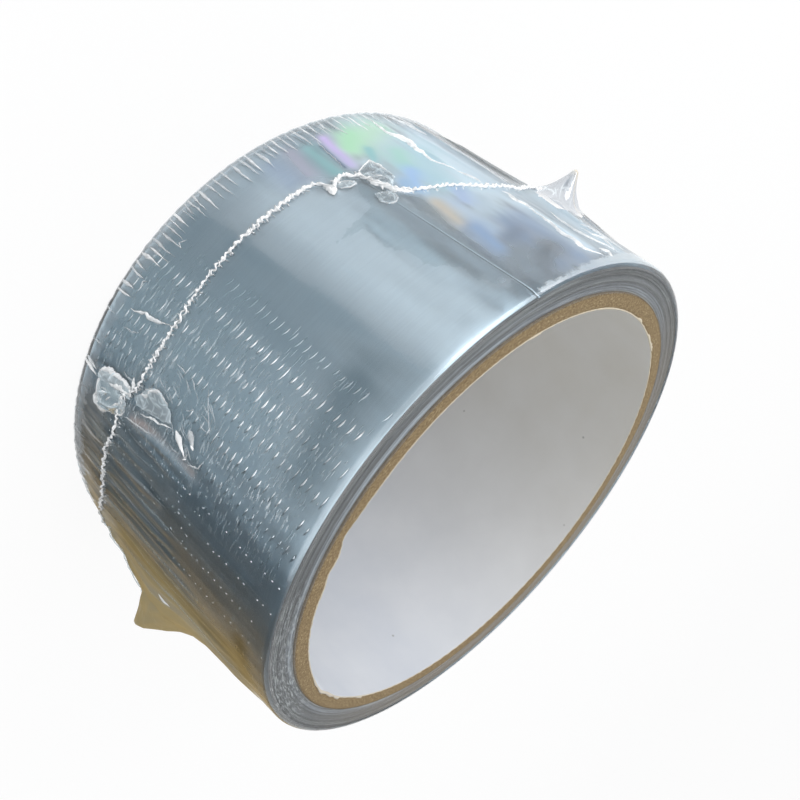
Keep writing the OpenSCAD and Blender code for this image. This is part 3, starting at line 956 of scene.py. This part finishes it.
# Rubbing against the cloth below has left fine white scuffs, 2 mm long, where it lies on threads
scuff_at = drawn_out(clear_film, film_flat, 30, film_xyz[2], 4300)
scuffs = add_node(clear_film, "TexNoise", {"Scale": 1.0, "Detail": 2.0, "Vector": scuff_at})
scuff_share = add_node(clear_film, "MapRange", {"range": (0.56, 0.7), "Value": scuffs})
scuff_cover = add_node(clear_film, "Math", {
    "operation": "MULTIPLY", 0: scuff_share, 1: amount["scuffed"],
})
film_milk_and_painted_light = add_node(clear_film, "Math", {"operation": "MAXIMUM", 0: amount["haze"], 1: frosted})
film_cover = add_node(clear_film, "Math", {
    "operation": "ADD", "use_clamp": True, 0: film_milk_and_painted_light, 1: scuff_cover,
})
film_white = add_node(clear_film, "Math", {"operation": "MAXIMUM", 0: frosted, 1: scuff_cover})
film_colour = add_node(clear_film, "Mix", {
    "data_type": "RGBA", 0: film_white, 6: film_tint, 7: "#e8f2f7",
})
film_clear = add_node(clear_film, "Mix", {
    "data_type": "RGBA", 0: wetted, 6: "#fcfdfe", 7: "#eaeff1",
})
see_through = add_node(clear_film, "BsdfTransparent", {"Color": film_clear.outputs[2]})
film_gloss = add_node(clear_film, "BsdfPrincipled", {
    "Base Color": "#ffffff", "Metallic": 1.0, "Roughness": 0.09, "Normal": film_bump,
})
film_body = add_node(clear_film, "BsdfPrincipled", {
    "Roughness": 0.4, "Base Color": film_colour.outputs[2], "Normal": film_bump,
})
glance = add_node(clear_film, "Fresnel", {"IOR": 1.65, "Normal": film_bump})
film_mirrors = add_node(clear_film, "Math", {
    "operation": "MULTIPLY_ADD", "use_clamp": True, 0: glance, 1: amount["taut"], 2: glance,
})
skin = add_node(clear_film, "MixShader", {0: film_mirrors, 1: see_through, 2: film_gloss})
whole_film = add_node(clear_film, "MixShader", {0: film_cover, 1: skin, 2: film_body})
add_node(clear_film, "OutputMaterial", {"Surface": whole_film})

film_skin = mesh_piece("film_skin", [on_film(angles, film_along, film_lift)], [clear_film],
                       round_the_roll=True)
for name, values in (("haze", haze), ("tint", tint), ("wet", wet + 5), ("frost", frost + 5),
                     ("taut", taut), ("scuffed", scuffed)):
    paint(film_skin, name, [values])
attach(film_skin, "root")
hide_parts("shrink_film")

# The seal itself is film melted through and drawn into a thin, looped cord as it shrank, white
# with stress. It runs right round the roll, and is thinner and clearer on the web at the right.
seal_steps = np.linspace(-180, 180, 5400, endpoint=False)
round_strand = np.linspace(0, 2 * math.pi, 7)[:, None]
looped = np.clip(0.55 + 0.6 * waves(seal_steps, 0, 77, 14), 0.15, 1.2)
strands = []
for strand, side in enumerate((1, -1)):
    phase = np.radians((276, 251)[strand] * seal_steps) + 2.2 * waves(seal_steps, 0, 71 + strand, 5)
    swing = (0.15, 0.44)[strand] * mm * looped * (1 + 0.4 * waves(seal_steps, 0, 72 + strand, 3))
    swing = swing * (1 + strand * 0.5 * falling(seal_steps - 18, 12, 0.5))
    fuller = np.interp(
        seal_steps, [-40, -24, -8, -1, 2, 6, 12, 26, 40, 60, 68, 80, 88],
        [1, 1.4, 1.2, 0.75, 0.7, 0.9, 0.9, 0.9, 0.85, 0.8, 0.5, 0.5, 0.85],
    )
    thick = (0.22, 0.14)[strand] * mm * fuller * (1 + 0.4 * waves(seal_steps, 0, 74 + strand, 1.1))
    middle_line = seal_height(seal_steps) + side * swing * np.sin(phase)
    middle_line = middle_line + 0.1 * mm * waves(seal_steps, 0, 76, 3)
    rise = 0.34 * mm + side * 0.14 * mm * np.cos(phase)
    strands.append(
        on_film(
            seal_steps + 0.25 * looped * np.cos(phase) * strand + 0 * round_strand,
            middle_line + thick * np.sin(round_strand),
            rise - thick * np.cos(round_strand) + 0.1 * mm,
        )
    )

# Stressed film turns from clear to a milky white with a wet gloss.
milky_film = new_material("stress_whitened_film")
milky_at = add_node(milky_film, "TexCoord").outputs["Object"]
milky_haze = add_node(milky_film, "Attribute", {"attribute_name": "haze"}).outputs["Fac"]
milk = add_node(milky_film, "TexNoise", {"Scale": 900.0, "Detail": 3.0, "Vector": milky_at})
milky_share = add_node(milky_film, "MapRange", {"range": (0.3, 0.7, 0.75, 1.2), "Value": milk})
milky_cover = add_node(milky_film, "Math", {
    "operation": "MULTIPLY", "use_clamp": True, 0: milky_haze, 1: milky_share,
})
milky_bump = add_node(milky_film, "Bump", {"Strength": 0.4, "Distance": 0.0001, "Height": milk})
milky_through = add_node(milky_film, "BsdfTransparent", {"Color": "#f4f9fb"})
milky_body = add_node(milky_film, "BsdfPrincipled", {
    "Base Color": "#ffffff", "Roughness": 0.22, "Coat Weight": 1.0, "Coat IOR": 1.75,
    "Coat Roughness": 0.12, "Normal": milky_bump,
})
milky_whole = add_node(milky_film, "MixShader", {0: milky_cover, 1: milky_through, 2: milky_body})
add_node(milky_film, "OutputMaterial", {"Surface": milky_whole})

seal_cord = mesh_piece("seal_cord", strands, [milky_film], round_the_roll=True)
cord_cover = np.interp(seal_steps, [58, 68, 80, 88], [1, 0.3, 0.3, 1])
paint(seal_cord, "haze", [cord_cover + 0 * strand[..., 0] for strand in strands])
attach(seal_cord, "root")

# Folds: the film doubles over where it shrank over the lower rim, and each gather runs from
# there up the wall as a narrow white ridge. Others run from the seal, its knots and its tabs.
rng = np.random.default_rng(8)
folds, fold_covers = [], []
mm_a_degree = 0.8


def fold(points, width, height, cover, wiggle=0.1):
    """A whitened fold of the film through points (angle, height), its width and height in mm."""
    points = np.array(points, float)
    steps = np.hypot(np.diff(points[:, 0]) * mm_a_degree, np.diff(points[:, 1]))
    stations = np.concatenate([[0], np.cumsum(steps)])
    share = np.linspace(0, stations[-1], max(8, int(stations[-1] * 5)))
    sway = wiggle * np.convolve(rng.normal(size=len(share) + 4), np.ones(5) / 5**0.5, "valid")
    swell = 1 + 0.3 * np.convolve(rng.normal(size=len(share) + 6), np.ones(7) / 7**0.5, "valid")
    path = np.interp(share, stations, points[:, 0]) + sway
    along = np.interp(share, stations, points[:, 1]) * mm
    wide = np.interp(share, np.linspace(0, stations[-1], np.size(width)), np.atleast_1d(width))
    folds.append(ridge(on_film, path, along, wide * np.clip(swell, 0.4, 2) * mm, height * mm))
    fold_covers.append(cover + 0 * folds[-1][..., 0])


gathers = [-57, -54, -51, -48.5, -46.5, -45, -43.5, -41.3, -39.3, -37.8, -36.5, -35.3, -33.5, -31.5,
           -30, -28.3, -26.8, -25.3, -24, -22.5, -20.7, -19.3, -17.5, -15, -13, -11.5, -9.8, -8.3,
           -7, -6.1, -5, -3.6, -2.4, -1.2, 0.4, 2.2, 3.9, 5.6, 7.2, 8.6, 11.8, 13.4]
while gathers[-1] < 298:
    gathers.append(gathers[-1] + rng.uniform(1.6, 4.2) * (1.6 if gathers[-1] < 64 else 1))
for gather in gathers:
    gather = (gather + 180) % 360 - 180
    top = rng.uniform(4.6, 7.0) if -60 < gather < 6 else rng.uniform(2.2, 4.6)
    lean, curve = rng.normal(0, 0.25), rng.normal(0, 0.15)
    points = [(gather, 0.05), (gather + 0.3 * lean, 1.2),
              (gather + 0.6 * lean + curve, top * 0.6), (gather + lean, top)]
    white = rng.uniform(0.55, 0.95) if -62 < gather < 14 else rng.uniform(0.3, 0.6)
    fold(points, [rng.uniform(0.5, 0.9), 0.4, 0.16], rng.uniform(0.12, 0.26), white * 0.85, 0.03)

# White folds: points (angle, height), width and height in mm, and how white they are
WHITE_FOLDS = [
    ([(-53.5, 48.7), (-52.9, 47.8), (-51.6, 46.4), (-52, 44.4), (-51.7, 41.8), (-52.3, 39.3),
      (-52.4, 36.7), (-53, 34.5)], [0.4, 0.95, 0.5, 0.4, 0.3, 0.25], 0.3, 0.8),
    ([(-53.2, 36), (-54.4, 33.6), (-53.4, 31.6), (-54.2, 30)], [0.3, 0.9, 1.1, 0.4], 0.3, 0.75),
    ([(-60.3, 48.1), (-59.4, 46), (-57.7, 44), (-56.7, 41.3), (-57.3, 38.2), (-58.7, 35.5)],
     [0.5, 0.35, 0.25], 0.3, 0.7),
    ([(-60.5, 47.3), (-62.6, 44), (-60.9, 42.5), (-60.6, 40.3)], 0.35, 0.3, 0.65),
    ([(-64.5, 47), (-63.8, 43), (-62.2, 39.5)], 0.3, 0.3, 0.6),
    ([(-55.5, 49.2), (-56.2, 48), (-55.6, 46.6)], 0.9, 0.3, 0.8),
    ([(-53.6, 28.6), (-54.4, 30.2), (-53.4, 32.6), (-55.6, 33.6)], 0.45, 0.35, 0.7),
    ([(-50.4, 22), (-49.6, 20), (-48.2, 18), (-48.8, 15.6), (-49, 14), (-49.5, 12), (-49, 9.9),
      (-47.9, 8), (-48.6, 5), (-49.2, 2)], [0.35, 0.5, 0.95, 0.6, 0.4, 0.35], 0.35, 0.95),
    ([(-52.3, 26), (-51.5, 24), (-50.4, 22)], 0.35, 0.3, 0.7),
    ([(-59, 9), (-57.4, 4.5), (-55, 1.5)], 0.4, 0.35, 0.7),
    ([(-61.5, 27), (-60.4, 22), (-59.4, 16), (-60, 11)], 0.3, 0.3, 0.5),
    ([(28.5, 15.4), (27.4, 18.4), (26.5, 20.5), (25.7, 22.6)], [0.22, 0.3, 0.34, 0.5], 0.35, 1.0),
    # A painted glint on the web at the right, drawn as a low white fold
    ([(67.8, 23.2), (68.2, 24.6), (68.6, 26.2)], [0.5, 0.4, 0.2], 0.15, 0.9),
    ([(25.3, 23.1), (26.3, 24.5), (27.4, 25.8), (28.1, 26.6)], [0.45, 0.95, 0.6, 0.3], 0.4, 1.0),
    ([(28.6, 26.4), (28.4, 27)], 0.55, 0.3, 1.0),
    ([(23.5, 25.3), (24.6, 26.4), (25.7, 27.5)], [1.0, 1.1, 0.5], 0.25, 0.6),
    ([(24.9, 26.7), (25.8, 27.6)], [0.35, 0.5], 0.3, 1.0),
    ([(28.8, 27.4), (28.2, 28.5), (27.7, 29.6), (25.9, 29.9)], 0.25, 0.2, 0.6),
    ([(27, 26.9), (28.4, 26.6), (29, 26.2)], 0.22, 0.2, 0.5),
    ([(31.9, 12.2), (30.9, 14.6), (30.2, 17), (29.7, 19.4)], [0.3, 0.2], 0.2, 0.5),
    ([(14.7, 4.8), (14.1, 6.8), (13.3, 8.1), (13.4, 9.4), (12.7, 11.1), (11.8, 13.9)],
     [0.3, 0.6, 0.5, 0.3], 0.3, 0.9),
    ([(10.7, 4.6), (9.2, 4.3), (8.7, 5.1)], 0.25, 0.2, 0.7),
    ([(-1.7, 6.1), (-0.3, 5.2), (0.4, 6.4)], 0.22, 0.15, 0.5),
    ([(28.5, 0.4), (29, 2.4), (29.8, 4.4)], [0.75, 0.5], 0.4, 1.0),
    ([(27.7, 0.6), (28.2, 2.4), (28.6, 4.0)], 0.35, 0.3, 0.7),
    ([(15.3, 25), (18, 26.5), (20, 28), (22, 29.3)], 0.2, 0.12, 0.35),
    ([(16.8, 9), (17.5, 7.5), (18.2, 5.2)], 0.35, 0.15, 0.3),
    ([(24.6, 12.4), (24.9, 10.8), (24.4, 9.2)], 0.35, 0.2, 0.35),
    ([(-33.6, 4), (-32.4, 8), (-31.8, 12), (-31, 14)], 0.25, 0.15, 0.45),
]
for points, width, height, cover in WHITE_FOLDS:
    fold(points, width, height, cover)
# Fine creases up the right side: angle, first and last height
for angle, low, high in ((33.6, 14, 25), (35.6, 5, 23), (38.6, 3, 10), (40.4, 13, 27),
                         (43.9, 13, 30), (47.6, 3, 26), (50.8, 11, 30), (54.2, 9, 36),
                         (57.4, 8, 40), (61, 9, 44), (65, 12, 45), (70, 6, 30)):
    sway = rng.normal(0, 0.2, 4)
    points = [(angle + sway[i], low + (high - low) * i / 3) for i in range(4)]
    fold(points, rng.uniform(0.2, 0.34), 0.1, rng.uniform(0.08, 0.2), 0.02)
# Wisps of half-molten film, drawn out over the foil to the left of the knot at the right
for _ in range(90):
    angle, low = rng.uniform(16, 29), rng.uniform(13, 27)
    reach, lean = rng.uniform(0.8, 2.6), rng.normal(1.2, 0.9)
    points = [(angle, low), (angle + 0.5 * lean + rng.normal(0, 0.2), low + 0.5 * reach),
              (angle + lean, low + reach)]
    fold(points, rng.uniform(0.12, 0.26), 0.08, rng.uniform(0.08, 0.4), 0.03)
# Teeth of film drawn out beside the seal
for _ in range(520):
    angle = rng.uniform(-180, 180)
    if 64 < angle < 84:
        continue
    side = 1 if rng.random() < 0.62 else -1
    reach = rng.uniform(0.35, 0.95) * side
    lean = rng.normal(0.35 if angle < -35 else -0.1, 0.3)
    foot = seal_height(angle) / mm
    fold([(angle, foot), (angle + 0.5 * lean, foot + 0.6 * reach), (angle + lean, foot + reach)],
         rng.uniform(0.16, 0.34), 0.3, rng.uniform(0.5, 1.0), 0.02)

film_folds = mesh_piece("film_folds", folds, [milky_film])
paint(film_folds, "haze", fold_covers)
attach(film_folds, "root")

# Knots: in two places the seal crumpled over on itself, and the double film was welded down
# as small puffed pockets, clear to milky, with sharp creases and some thick white edges.
KNOTS = [
    # how high the pocket puffs up in mm, how milky it is, how white its creases are, its outline
    (1.2, 0.14, 0.4, [(28.8, 5.6), (30.4, 5.3), (31.6, 5.8), (33.0, 5.7), (33.9, 6.6), (33.7, 8.2),
                      (33.2, 9.7), (32.5, 11.2), (31.6, 12), (30.2, 12.4), (29.1, 12.4),
                      (28.4, 11.6), (28.3, 10.2), (27.7, 9.2), (28.1, 7.5)]),
    (0.9, 0.50, 0.3, [(29.4, 4.7), (28.2, 4.6), (26.9, 5.6), (26.3, 7.2), (26.0, 8.9), (25.9, 10.3),
                      (26.1, 11.3), (26.6, 12.4), (27.9, 12.8), (28.1, 11.4), (27.7, 9.6),
                      (28.4, 7.6), (29.3, 5.7)]),
    (0.5, 0.34, 0.22, [(26.5, 13.2), (25.4, 14.3), (24.5, 14.7), (23.4, 15.4), (22.5, 16.3),
                       (22.2, 17.8), (22.8, 19.2), (23.2, 20.2), (23.7, 21.2), (25.2, 21.9),
                       (26.0, 20.6), (26.5, 18.8), (27.1, 16.8), (27.7, 14.4)]),
    (0.9, 0.12, 0.6, [(-31.9, 16.9), (-32.9, 15.7), (-34.7, 14.9), (-36.2, 14.7), (-36.8, 16.0),
                      (-37.0, 17.9), (-36.7, 19.9), (-35.4, 20.6), (-34.4, 21.4), (-33.4, 20.6),
                      (-32.6, 18.6)]),
    (0.4, 0.2, 0.4, [(-30.3, 21.2), (-31.8, 21.4), (-33.5, 22.2), (-32.9, 24.0), (-31.8, 24.6),
                     (-30.6, 24.4), (-29.6, 23.0)]),
    (0.3, 0.3, 0.4, [(-26.9, 15.6), (-28.5, 15.5), (-30.3, 16.9), (-30.0, 17.8), (-28.5, 17.7),
                     (-27.0, 16.9)]),
]


def crumpled(x, y, pitch, seed):
    """How near a point of crumpled film is to one of its sharp creases, from 0 to 1."""
    nearest, draw = np.zeros(np.shape(x + y)), np.random.default_rng(seed)
    for _ in range(5):
        way, shift, bow = draw.uniform(0, math.pi), draw.uniform(0, 6, 3), draw.uniform(0.5, 1.3)
        across = x * math.cos(way) + y * math.sin(way)
        along = y * math.cos(way) - x * math.sin(way)
        line = across / pitch + bow * np.sin(along / pitch * 0.8 + shift[0]) + shift[1]
        there = unit(0.2 + np.sin(along / pitch * 1.3 + shift[2]) + 0.4 * np.sin(across / pitch))
        nearest = np.maximum(nearest, (1 - np.abs(np.sin(line))) ** 6 * there)
    return nearest


pockets, pocket_covers = [], []
for number, (height, milkiness, whiteness, outline) in enumerate(KNOTS):
    outline = np.array(outline + outline[:1], float)
    along_edge = np.linspace(0, 1, 141)
    stations = np.linspace(0, 1, len(outline))
    edge = np.stack([np.interp(along_edge, stations, outline[:, i]) for i in (0, 1)], axis=-1)
    uneven = [waves(along_edge * 360, 0, seed + number, 22) for seed in (80, 90)]
    edge = edge + 0.1 * np.stack(uneven, axis=-1)
    centre = edge[:-1].mean(0)
    reach = np.linspace(0.02, 1, 44)[:, None]
    spots = centre + (edge - centre)[None] * reach[..., None]
    x, y = spots[..., 0] * mm_a_degree, spots[..., 1]
    creases = crumpled(x, y, 1.7 if number < 3 else 1.0, 95 + number)
    puff = 0.25 + 0.75 * np.sqrt(unit(1 - reach**2.5))
    lift = height * mm * (puff * 0.6 + 0.4 * creases * (1 - reach**8))
    pockets.append(on_film(spots[..., 0], y * mm, lift))
    mottled = (0.2 if number < 2 else 0.4) * crumpled(x, y, 0.6, 85 + number)
    pocket_covers.append(unit(milkiness + whiteness * creases + mottled + 0.4 * reach**9))

# Their edges and pleats: points (angle, height), width and height in mm, and how white they are
folds, fold_covers = [], []
for points, width, height, cover in (
    ([(29.4, 4.7), (28.2, 4.8), (26.9, 5.6), (26.3, 7.2), (26, 8.9), (25.9, 10.3), (26.1, 11.3),
      (26.5, 12.7)],
     [0.5, 0.7, 0.5, 0.6, 0.8, 0.5], 0.6, 1.0),
    ([(28.4, 6.6), (27.9, 8.3), (27.3, 9.8), (27.1, 11.5), (27.2, 13.1)],
     [0.35, 0.6, 0.85, 0.7, 0.5], 0.8, 1.0),
    ([(28.8, 5.4), (30.4, 5.2), (31.5, 5.8), (32.6, 5.5), (33.6, 6.0), (34.0, 7.2), (33.6, 8.6),
      (33.2, 9.9)],
     [0.5, 0.7, 0.4, 0.7, 0.8, 0.6, 0.4], 0.8, 1.0),
    ([(33.3, 9.5), (32.6, 11.1), (31.7, 12), (30.4, 12.5)], [0.4, 0.3], 0.4, 0.8),
    ([(30.8, 7.8), (31.5, 8.6), (30.4, 9.2), (29.8, 9.9)], [0.3, 0.5, 0.3], 0.9, 0.8),
    ([(32.2, 9.2), (31.2, 10.3), (30.2, 10.9), (29.0, 12.0)], [0.4, 0.8, 0.6, 0.3], 0.9, 0.9),
    ([(26.6, 12.8), (25.6, 12.6), (24.7, 12.2), (23.9, 11.8)], [0.6, 0.45, 0.3], 0.5, 1.0),
    ([(25.9, 14), (24.9, 14.7), (24.6, 16), (23.6, 15.8), (22.6, 17.2), (22.5, 18.4)],
     [0.3, 0.5, 0.4, 0.3], 0.4, 0.85),
    ([(24.4, 14.7), (23.2, 15.6), (22.4, 16.8), (22.5, 18.6), (23.3, 20.2)], 0.22, 0.3, 0.6),
    ([(31, 6.0), (30, 6.8), (29.6, 8.2), (28.6, 9)], [0.2, 0.35, 0.2], 0.9, 0.5),
    ([(30.6, 10.6), (30, 11.6), (29.2, 11.2)], 0.3, 0.7, 0.7),
    ([(-23.4, 13.6), (-24.6, 14.2), (-25.5, 15.4), (-25.4, 17), (-26.6, 15.9), (-29.2, 15),
      (-30.3, 16.1), (-31.7, 17.1)],
     [0.4, 0.5, 0.7, 0.6, 0.8, 0.6], 0.6, 1.0),
    ([(-31.7, 17.1), (-32.1, 18.1), (-32.4, 19.5), (-33.3, 21.1), (-33.8, 22.5), (-35.3, 23.5),
      (-36.9, 24.9)],
     [0.5, 0.35, 0.45, 0.5, 0.6], 0.6, 1.0),
    ([(-31.9, 16.9), (-32.9, 15.7), (-34.7, 14.9), (-36.5, 14.5), (-36.7, 16), (-36.8, 17.9),
      (-36.6, 20)],
     [0.35, 0.3, 0.25, 0.35, 0.2], 0.5, 0.95),
    ([(-35.2, 20.3), (-35.2, 19.3), (-33.8, 18.2), (-32.5, 17.8)], 0.3, 0.6, 0.9),
    ([(-34.4, 15.6), (-34.9, 17), (-33.8, 17.6)], 0.2, 0.5, 0.7),
    ([(-30.3, 21.4), (-31.8, 21.9), (-33.5, 22.5), (-32.7, 24), (-31.8, 24.5), (-30.6, 24.4),
      (-29.6, 23)], 0.2, 0.3, 0.5),
    ([(-26.9, 15.8), (-28.5, 15.9), (-30.3, 17.6), (-28.5, 17.7), (-27, 16.9)], 0.22, 0.3, 0.6),
):
    fold(points, np.array(width) * (1.25 if points[0][0] < 0 else 1.55), height, cover, 0.16)

seal_pockets = mesh_piece("seal_pockets", pockets, [clear_film])
paint(seal_pockets, "haze", pocket_covers)
paint(seal_pockets, "tint", [np.array(linear("#dbe7ed")) + 0 * p[..., :1] for p in pockets])
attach(seal_pockets, "root")
seal_welts = mesh_piece("seal_welts", folds, [milky_film])
paint(seal_welts, "haze", fold_covers)
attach(seal_welts, "root")

# Tabs: at each side of the roll a doubled end of the seal stands off as a crumpled peak of
# film, like a small tent, with a blunt tip where the heat drew it together.
TABS = [
    # middle angle and height, reach to lower and higher angles, down and up in mm, and how much
    # further up it reaches at the higher angles
    (-69.8, 31.2, 9.0, 8.0, 5.5, 5.0, 4.5),
    (78.0, 18.9, 6.0, 6.5, 1.2, 7.5, 0.0),
]
# Peak in mm, how steep it is below and above, how milky it is, its colour, the colour of its
# thick edges, and the turns at which those run down from the peak
TAB_LOOKS = [
    (4.3, 2.4, 3.0, 0.62, "#9ea6b0", "#d8cdba", (-96, 84)),
    # The olive colours of the tab at the right are a painted reflection of warm brown surroundings
    (3.3, 1.0, 1.3, 0.88, "#ab9b72", "#cabf9d", ()),
]
peaks, peak_covers, peak_tints = [], [], []
for number, (middle, level, back, front, down, up, further) in enumerate(TABS):
    peak, below, above, milkiness, colour, edge_colour, seams = TAB_LOOKS[number]
    turned = np.linspace(-180, 180, 181)
    across, upright = np.cos(np.radians(turned)), np.sin(np.radians(turned))
    reach_angle = np.where(across > 0, front, back) * across
    reach_level = np.where(upright > 0, up + further * unit(across), down) * upright
    share = np.linspace(0, 1, 50)[:, None]
    ragged_reach = share * (1 + 0.05 * share * waves(turned, 0, 110 + number, 50))
    pleats = waves(turned, share * 1.5, 112 + number, 50, 1) * np.sin(share * math.pi)
    seam = 0
    for seam_turn in seams:
        bowed = seam_turn + 6 * np.sin(share * 5 + seam_turn)
        beside = bell(turned - bowed, 5 / (share + 0.15))
        seam = np.maximum(seam, beside * unit(1.2 - share))
    x, y = reach_angle * ragged_reach * mm_a_degree, reach_level * ragged_reach
    lace = crumpled(x, y, (0.75, 0.6)[number], 120 + number)
    lace = lace * unit(np.sin(share * math.pi * 0.9 + 0.4))
    lace = lace * np.clip(0.8 - upright, 0.3, 1) * (1, 0.15)[number]
    steep = below + (above - below) * (0.5 + 0.5 * upright)
    blunt = unit((1 - share) / 0.93)
    lift = peak * blunt**steep + (0.1, 0.05)[number] * pleats + 0.1 * seam * share
    lift = lift + 0.15 * lace * (1 - share)
    leaning, heights = middle + reach_angle * ragged_reach, level + reach_level * ragged_reach
    peaks.append(on_film(leaning, heights * mm, np.clip(lift, 0.02, None) * mm))
    # The blunt tip is paler, partly from doubled film and partly a painted glint
    tip = bell(share, 0.09)
    cover = milkiness + 0.45 * seam + 0.6 * lace + 0.3 * tip
    peak_covers.append(np.clip(cover - (milkiness + 0.5) * share**6 * (1, 0)[number], 0.02, 1))
    shade = toward(linear(colour), "#f4fafc", unit(1.3 * lace))
    peak_tints.append(toward(shade, edge_colour, unit(seam + tip)))

seal_tabs = mesh_piece("seal_tabs", peaks, [clear_film])
paint(seal_tabs, "haze", peak_covers)
paint(seal_tabs, "tint", peak_tints)
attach(seal_tabs, "root")
